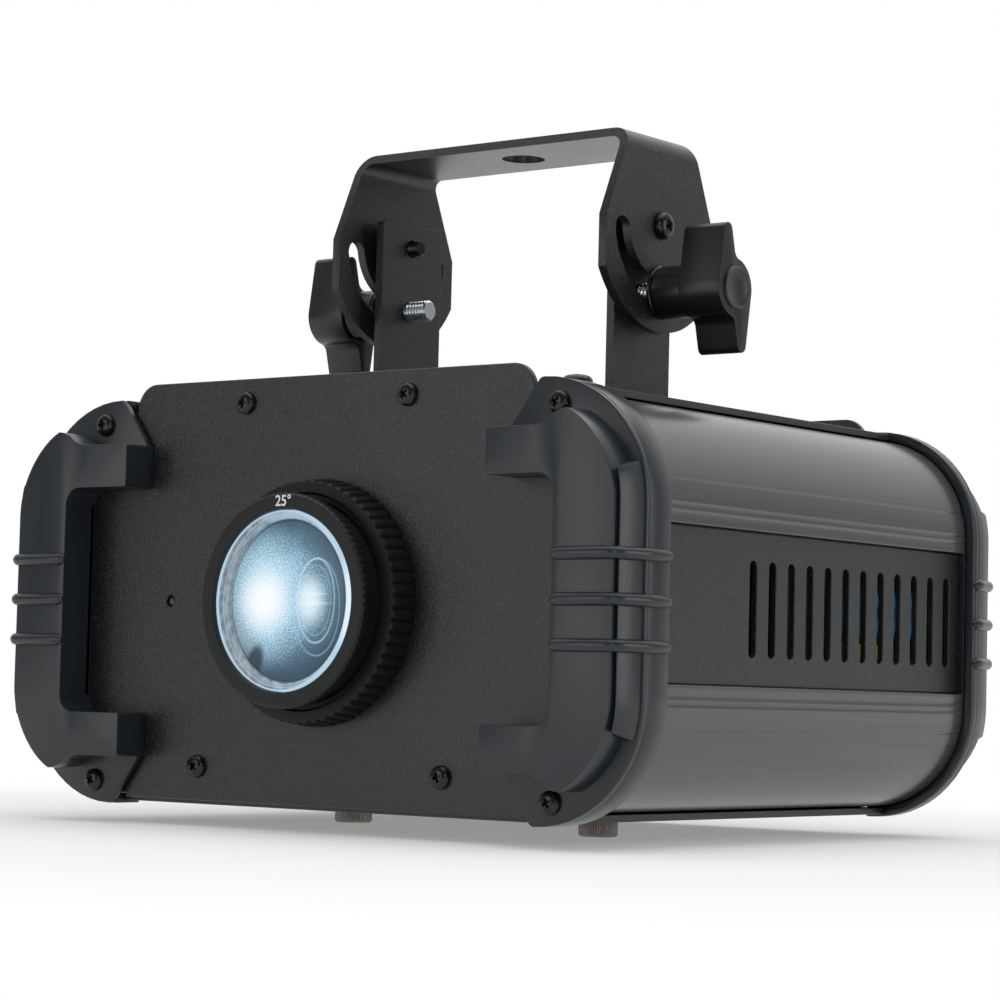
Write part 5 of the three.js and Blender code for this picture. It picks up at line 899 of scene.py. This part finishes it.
def addClamps(headShape):
    c, h = clamp, hanging
    centre, pivotAt = (0, h["back"], h["stud"]), (0, h["back"], h["pivot"])
    wings = prism(knobOutline(), "x", c["wingBack"], c["wingFace"], centre, steps=12)
    softenEdges(wings, c["edge"], angle=40, segments=3)
    boss, cap, washer = (lathe(c[name], "x", centre, sides["clamp"]) for name in ("boss", "cap", "washer"))
    head = bmesh.new()
    head.from_mesh(headShape)
    seat = Matrix.Translation(at(c["pivotSeat"], h["back"], h["pivot"])) @ Matrix.Rotation(math.pi / 2, 4, "Y") \
        @ Matrix.Rotation(c["pivotTurn"], 4, "Z") @ Matrix.Scale(c["pivotHead"] / screws["radius"], 4)
    bmesh.ops.transform(head, matrix=seat, verts=head.verts)
    neck = cylinder(c["neckRadius"], "x", c["neckIn"], c["pivotSeat"], pivotAt)
    shank = threaded(centre=pivotAt, **c["shank"])
    made = {"knob": finishMesh("knob-right", joined(wings, boss, cap), merged=False),
            "stud": finishMesh("stud-right", threaded(centre=centre, **c["stud"])),
            "washer": finishMesh("washer-right", washer),
            "pivot_screw": finishMesh("pivot-screw-right", joined(head, neck, shank), merged=False)}
    for node, piece in made.items():
        settlePair(piece, node)


screws = dict(radius=3.6, high=2.3, head=[(0, 0), (3.6, 0), (3.6, 0.7), (3.35, 1.35), (2.7, 1.9), (1.6, 2.2), (0, 2.3)],
              around=40, crossHalf=0.475, crossReach=2.1, crossDeep=1.3, crossTaper=0.6, crossTall=2, edge=0.12,
              front=((32.6, 61.8, 0), (49, -51.9, 0), (91.3, 56.8, -2.75), (91.3, -57.6, -2.75)),
              guardFrom=80, rear=((32.6, 61.8), (68, -55)), coverTop=134.4, coverScale=1.3,
              cover=((86, 12.5), (62, rearFace - 12.5)), frontSpin=(0.4, 0.9, 0.5), rearSpin=(0.7, 30),
              coverSpin=(0.3, 50))


# One pan head with a cross recess, standing on the plane z = 0.
def panHead():
    s = screws
    bm = bmesh.new()
    verts = [bm.verts.new((radius * mm, 0, z * mm)) for radius, z in s["head"]]
    edges = [bm.edges.new(pair) for pair in zip(verts, verts[1:])]
    bmesh.ops.spin(bm, geom=verts + edges, cent=(0, 0, 0), axis=(0, 0, 1), angle=2 * math.pi, steps=s["around"],
                   use_merge=True)
    head = finishMesh("panHead", bm)
    for size in ((s["crossReach"], s["crossHalf"]), (s["crossHalf"], s["crossReach"])):
        arm = bmesh.new()
        bmesh.ops.create_cube(arm, size=2)
        bmesh.ops.scale(arm, vec=(size[0] * mm, size[1] * mm, s["crossTall"] * mm), verts=arm.verts)
        bmesh.ops.translate(arm, vec=(0, 0, (s["high"] - s["crossDeep"] + s["crossTall"]) * mm), verts=arm.verts)
        longest = 0 if size[0] > size[1] else 1
        for vert in arm.verts:
            if vert.co.z < s["high"] * mm:
                vert.co[longest] *= s["crossTaper"]
        carve(head, arm)
    roundEdges(head, s["edge"])
    shape = evaluatedMesh(head)
    bpy.data.objects.remove(head)
    return shape


def screwPlace(x, face, up, spin):
    return Matrix.Translation(at(x, face, midZ + up)) @ Matrix.Rotation(math.pi / 2, 4, "X") \
        @ Matrix.Rotation(spin, 4, "Z")


# Each head is turned another way, as hand-driven screws are.
def addScrews(headShape):
    s = screws
    start, each, other = s["frontSpin"]
    aside, rearRate = s["rearSpin"]
    coverStart, coverRate = s["coverSpin"]
    places = [screwPlace(side * x, face, up, start + each * index + other * side)
              for side in (-1, 1) for index, (x, up, face) in enumerate(s["front"])]
    places += [turnedRound @ place for place in places if abs(place.translation.x) > s["guardFrom"] * mm]
    places += [turnedRound @ screwPlace(side * x, 0, up, aside * side + up / rearRate)
               for x, up in s["rear"] for side in (-1, 1)]
    places += [Matrix.Translation(at(side * x, y, s["coverTop"])) @ Matrix.Rotation(coverStart + y / coverRate, 4, "Z")
               @ Matrix.Scale(s["coverScale"], 4) for x, y in s["cover"] for side in (-1, 1)]
    for index, place in enumerate(places):
        screw = addObject(f"pan-screw-{index + 1}", headShape.copy())
        screw.data.transform(place)
        settle(screw, "front_plate", slot="black_oxide_steel", stands=False)


thumb = dict(x=50.3, y=77.8, knurls=44, steps=4, depth=0.4, band=6.1,
             outline=[(0, 0.35), (4.6, 0.35), (5.0, 0), (5.6, 0), (6.2, 0.6), (6.2, 6.1), (5.7, 6.7), (2.5, 6.7),
                      (2.5, 15.7), (0, 15.7)])


def addThumbscrews():
    t = thumb
    centre = (t["x"], t["y"], 0)
    bm = lathe(t["outline"], "z", centre, t["knurls"] * t["steps"])
    fluted(bm, "z", centre, t["band"], t["knurls"], t["depth"])
    settlePair(finishMesh("thumbscrew-right", bm), "hatch_thumbscrew")


plain = dict(nodes=("top_cover", "bottom_cover", "bottom_hatch", "gobo_bracket", "condenser_holder", "led_heatsink",
                    "led_board", "power_board", "transformer", "control_board", "fan_frame", "fan_rotor",
                    "gobo_motor", "display_window"), edge=0.25, flatAngle=0.5)


# Plates and blocks whose shape is right: a node's own solid with softened edges.
def addPlain():
    for node in plain["nodes"]:
        bm = bmesh.new()
        bm.from_mesh(nodes[node].data)
        bmesh.ops.remove_doubles(bm, verts=bm.verts, dist=weld["solid"])
        bmesh.ops.dissolve_limit(bm, angle_limit=math.radians(plain["flatAngle"]), verts=bm.verts, edges=bm.edges)
        piece = finishMesh(node.replace("_", "-"), bm, merged=False)
        settle(roundEdges(piece, plain["edge"]), node)


rear = dict(front=186.4, thick=2, grilleRadius=27, grilleSlots=7, grilleWidth=3.6, display=(36, 44, 44.6, 16.6, 2),
            buttons=4, buttonFirst=-15, buttonPitch=-14, buttonUp=44, buttonHole=4.3, portUp=-43.5, socketHole=12.3,
            inletHole=(48.6, 25.6, 3), edge=0.35)


# A rounded block that stands up towards the rear.
def rearBlock(x, up, width, height, radius, front, deep, steps=8):
    return prism(boxOutline(x, up, width, height, radius), "y", front, front + deep, steps=steps)


def buttonCentre(index):
    return (rear["buttonFirst"] + index * rear["buttonPitch"], 0, midZ + rear["buttonUp"])


def addRearPlate():
    r = rear
    before, through = r["front"] - spare, r["thick"] + 2 * spare
    made = endPlate("rear-plate", rearFace, rearFace - r["thick"])
    slots = []
    for i in range(r["grilleSlots"]):
        up = (i - (r["grilleSlots"] - 1) / 2) * 2 * r["grilleRadius"] / r["grilleSlots"]
        long = 2 * math.sqrt(r["grilleRadius"] ** 2 - up ** 2)
        width = r["grilleWidth"]
        slots.append(rearBlock(0, up + lensUp, long, width, width * nearlyHalf, before, through))
    carve(made, *slots)
    holes = [rearBlock(*r["display"], before, through),
             rearBlock(inlet["x"], r["portUp"], *r["inletHole"], before, through)]
    rounds = [(r["buttonHole"], buttonCentre(i), sides["slotEnd"]) for i in range(r["buttons"])]
    rounds += [(r["socketHole"], (x, 0, midZ + r["portUp"]), sides["socket"]) for _, x, _ in sockets["places"]]
    holes += [cylinder(radius, "y", before, before + through, centre, steps) for radius, centre, steps in rounds]
    carve(made, *holes)
    settle(roundEdges(made, r["edge"]), "rear_plate")


sockets = dict(places=(("data_in", 48, True), ("data_out", 17, False)), flange=(26, 31, 3, 188.7, 1.8), flangeEdge=0.35,
               bore=11.6, face=190.5,
               cup=[(0, 169.4), (12, 169.4), (12, 190.8), (11.7, 191.1), (10.8, 191.1), (10.4, 190.6), (10.4, 171.4),
                    (0, 171.4)],
               latchUp=13.6, latch=(7, 2.6, 0.8, 190.3, 1.0), latchEdge=0.25, pinCircle=4.4, pinHole=1.45, pinEnd=179.4,
               pin=[(0, 170.9), (1.2, 170.9), (1.2, 178.5), (0.7, 179.2), (0, 179.4)],
               insert=[(0, 170.9), (8.8, 170.9), (8.8, 190.1), (8.4, 190.5), (0, 190.5)])


# A round data socket: one has three pins in its cup, and the other an insert with three holes.
def addSocket(node, x, holdsPins):
    s, up = sockets, rear["portUp"]
    centre = (x, 0, midZ + up)
    flange = finishMesh("flange", softenEdges(rearBlock(x, up, *s["flange"]), s["flangeEdge"]))
    carve(flange, cylinder(s["bore"], "y", s["flange"][3] - spare, s["face"] + spare, centre, sides["socket"]))
    latch = softenEdges(rearBlock(x, up + s["latchUp"], *s["latch"]), s["latchEdge"])
    parts = [opened(flange), lathe(s["cup"], "y", centre, sides["socket"]), latch]
    angles = [math.pi * (i + 1) / 2 for i in range(3)]
    places = [(x + s["pinCircle"] * math.cos(angle), 0, centre[2] + s["pinCircle"] * math.sin(angle))
              for angle in angles]
    if holdsPins:
        parts += [lathe(s["pin"], "y", place, sides["pin"]) for place in places]
    else:
        insert = finishMesh("insert", lathe(s["insert"], "y", centre, sides["socket"]))
        carve(insert, *[cylinder(s["pinHole"], "y", s["pinEnd"], s["face"] + spare, place, sides["pin"])
                        for place in places])
        parts.append(opened(insert))
    addPiece(node, joined(*parts), merged=False)


inlet = dict(x=-36, flange=(54, 31, 3, 188.7, 2.4), flangeEdge=0.45, body=(48, 25, 3, 166.4, 22.4), face=191.1,
             cupX=-45.5, cupWidth=25, cupHeight=21, cupFloor=176.1, key=5.5, cupRadius=2, keyRadius=0.8,
             pins=((-7, 0), (0, 2.5), (7, 0)), pin=(2, 5, 0.3, 175.6, 8.5), pinEdge=0.4, drawerX=-22.5,
             drawerWidth=12, drawerHeight=16, drawerOuter=1, drawerInner=0.6, groove=0.9, grip=(5, 1.6, 0.7),
             gripDown=4.6)


# The cup has two corners cut off, so that its plug goes in only one way up.
def inletCup():
    n = inlet
    across, rise, key = n["cupWidth"] / 2, n["cupHeight"] / 2, n["key"]
    outline = bothHalves([(-across, -rise, n["cupRadius"])],
                         [(across, rise - key, n["keyRadius"]), (across - key, rise, n["keyRadius"])], across=-1)
    return prism(outline, "y", n["cupFloor"], n["face"] + spare, (n["cupX"], 0, midZ + rear["portUp"]), steps=6)


def addInlet():
    n, up = inlet, rear["portUp"]
    groove, x, face = n["groove"], n["drawerX"], n["face"]
    wide, high = n["drawerWidth"], n["drawerHeight"]
    flange = finishMesh("flange", softenEdges(rearBlock(n["x"], up, *n["flange"]), n["flangeEdge"]))
    body = finishMesh("body", rearBlock(n["x"], up, *n["body"]))
    ring = finishMesh("ring", rearBlock(x, up, wide, high, n["drawerOuter"], face - groove, 2 * groove))
    wide, high = wide - 2 * groove, high - 2 * groove
    carve(ring, rearBlock(x, up, wide, high, n["drawerInner"], face - 2 * groove, 4 * groove))
    carve(flange, inletCup())
    carve(flange, opened(ring))
    carve(flange, rearBlock(x, up - n["gripDown"], *n["grip"], face - groove, 2 * groove))
    carve(body, inletCup())
    parts = [opened(flange), opened(body)]
    for across, rise in n["pins"]:
        pin = rearBlock(n["cupX"] + across, up + rise, *n["pin"], steps=2)
        parts.append(softenEdges(pin, n["pinEdge"]))
    addPiece("power_inlet", joined(*parts), merged=False)


small = dict(button=[(0, 181.2), (1.5, 181.2), (1.5, 185.1), (5.2, 185.1), (5.2, 186.1), (4, 186.1), (4, 190.2),
                     (3.8, 190.75), (3.25, 191.0), (2.4, 190.8), (0, 190.65)],
             sensor=[(0, 0.35), (0.9, 0.45), (1.5, 0.9), (1.5, 2.3), (3.2, 2.3), (3.2, 3.5), (1.5, 3.5), (1.5, 5.3),
                     (0, 5.3)],
             canX=104.3, canUp=2,
             can=[(0, 138), (7.4, 138), (8, 138.6), (8, 140.2), (7.3, 140.9), (7.3, 141.4), (8, 142.1), (8, 173.5),
                  (7.5, 174), (6.6, 174), (6.4, 173.5), (0, 173.5)])


def addButtons():
    for i in range(rear["buttons"]):
        addTurned(f"menu_button_{i + 1}", small["button"], buttonCentre(i), sides["button"])


def addSmallPieces():
    p = small
    addTurned("lens_tube", lensGroup["tube"], lensCentre, sides["lens"])
    addTurned("lens_barrel", lensGroup["barrel"], lensCentre, sides["lens"])
    addTurned("sensor_window", p["sensor"], (plates["sensorX"], 0, midZ), sides["sensor"])
    addTurned("capacitor", p["can"], (p["canX"], 0, midZ + p["canUp"]), sides["button"])
    spacer = lathe(clamp["spacer"], "x", (0, hanging["back"], hanging["pivot"]), sides["button"])
    settlePair(finishMesh("pivot-spacer-right", spacer), "pivot_spacer")


loop = dict(x=60, plate=(14, 26, 3, 188.7, 2.5), plateEdge=0.5, foot=190.9, radius=7.5, wire=2.2, around=20, steps=28)


def addSafetyLoop():
    p = loop
    plate = softenEdges(rearBlock(p["x"], 0, *p["plate"]), p["plateEdge"])
    hub = at(p["x"], p["foot"], midZ)
    start = Matrix.Translation(hub + Vector((0, 0, p["radius"] * mm))) @ Matrix.Rotation(math.pi / 2, 4, "X")
    wire = bmesh.new()
    bmesh.ops.create_circle(wire, cap_ends=True, segments=p["around"], radius=p["wire"] * mm, matrix=start)
    bmesh.ops.spin(wire, geom=wire.faces[:], cent=hub, axis=(1, 0, 0), angle=-math.pi, steps=p["steps"])
    bmesh.ops.holes_fill(wire, edges=wire.edges)
    bmesh.ops.recalc_face_normals(wire, faces=wire.faces)
    addPiece("safety_loop", joined(plate, wire), merged=False)


addCamera()
addWorld()
addLamps()
addFloor()
print("studio ready")
dressNodes()
print("nodes dressed")
addGuards()
print("guards made")
addExtrusions()
addPanels()
addFrontPlate()
addPlain()
print("housing made")
addLens()
print("lens made")
headMesh = panHead()
addYoke()
addClamps(headMesh)
print("yoke and clamps made")
addScrews(headMesh)
addThumbscrews()
print("screws made")
addRearPlate()
for socketPlace in sockets["places"]:
    addSocket(*socketPlace)
addInlet()
addButtons()
addSafetyLoop()
print("rear made")
addSmallPieces()
print("small pieces made")

scene.view_settings.view_transform = "Standard"
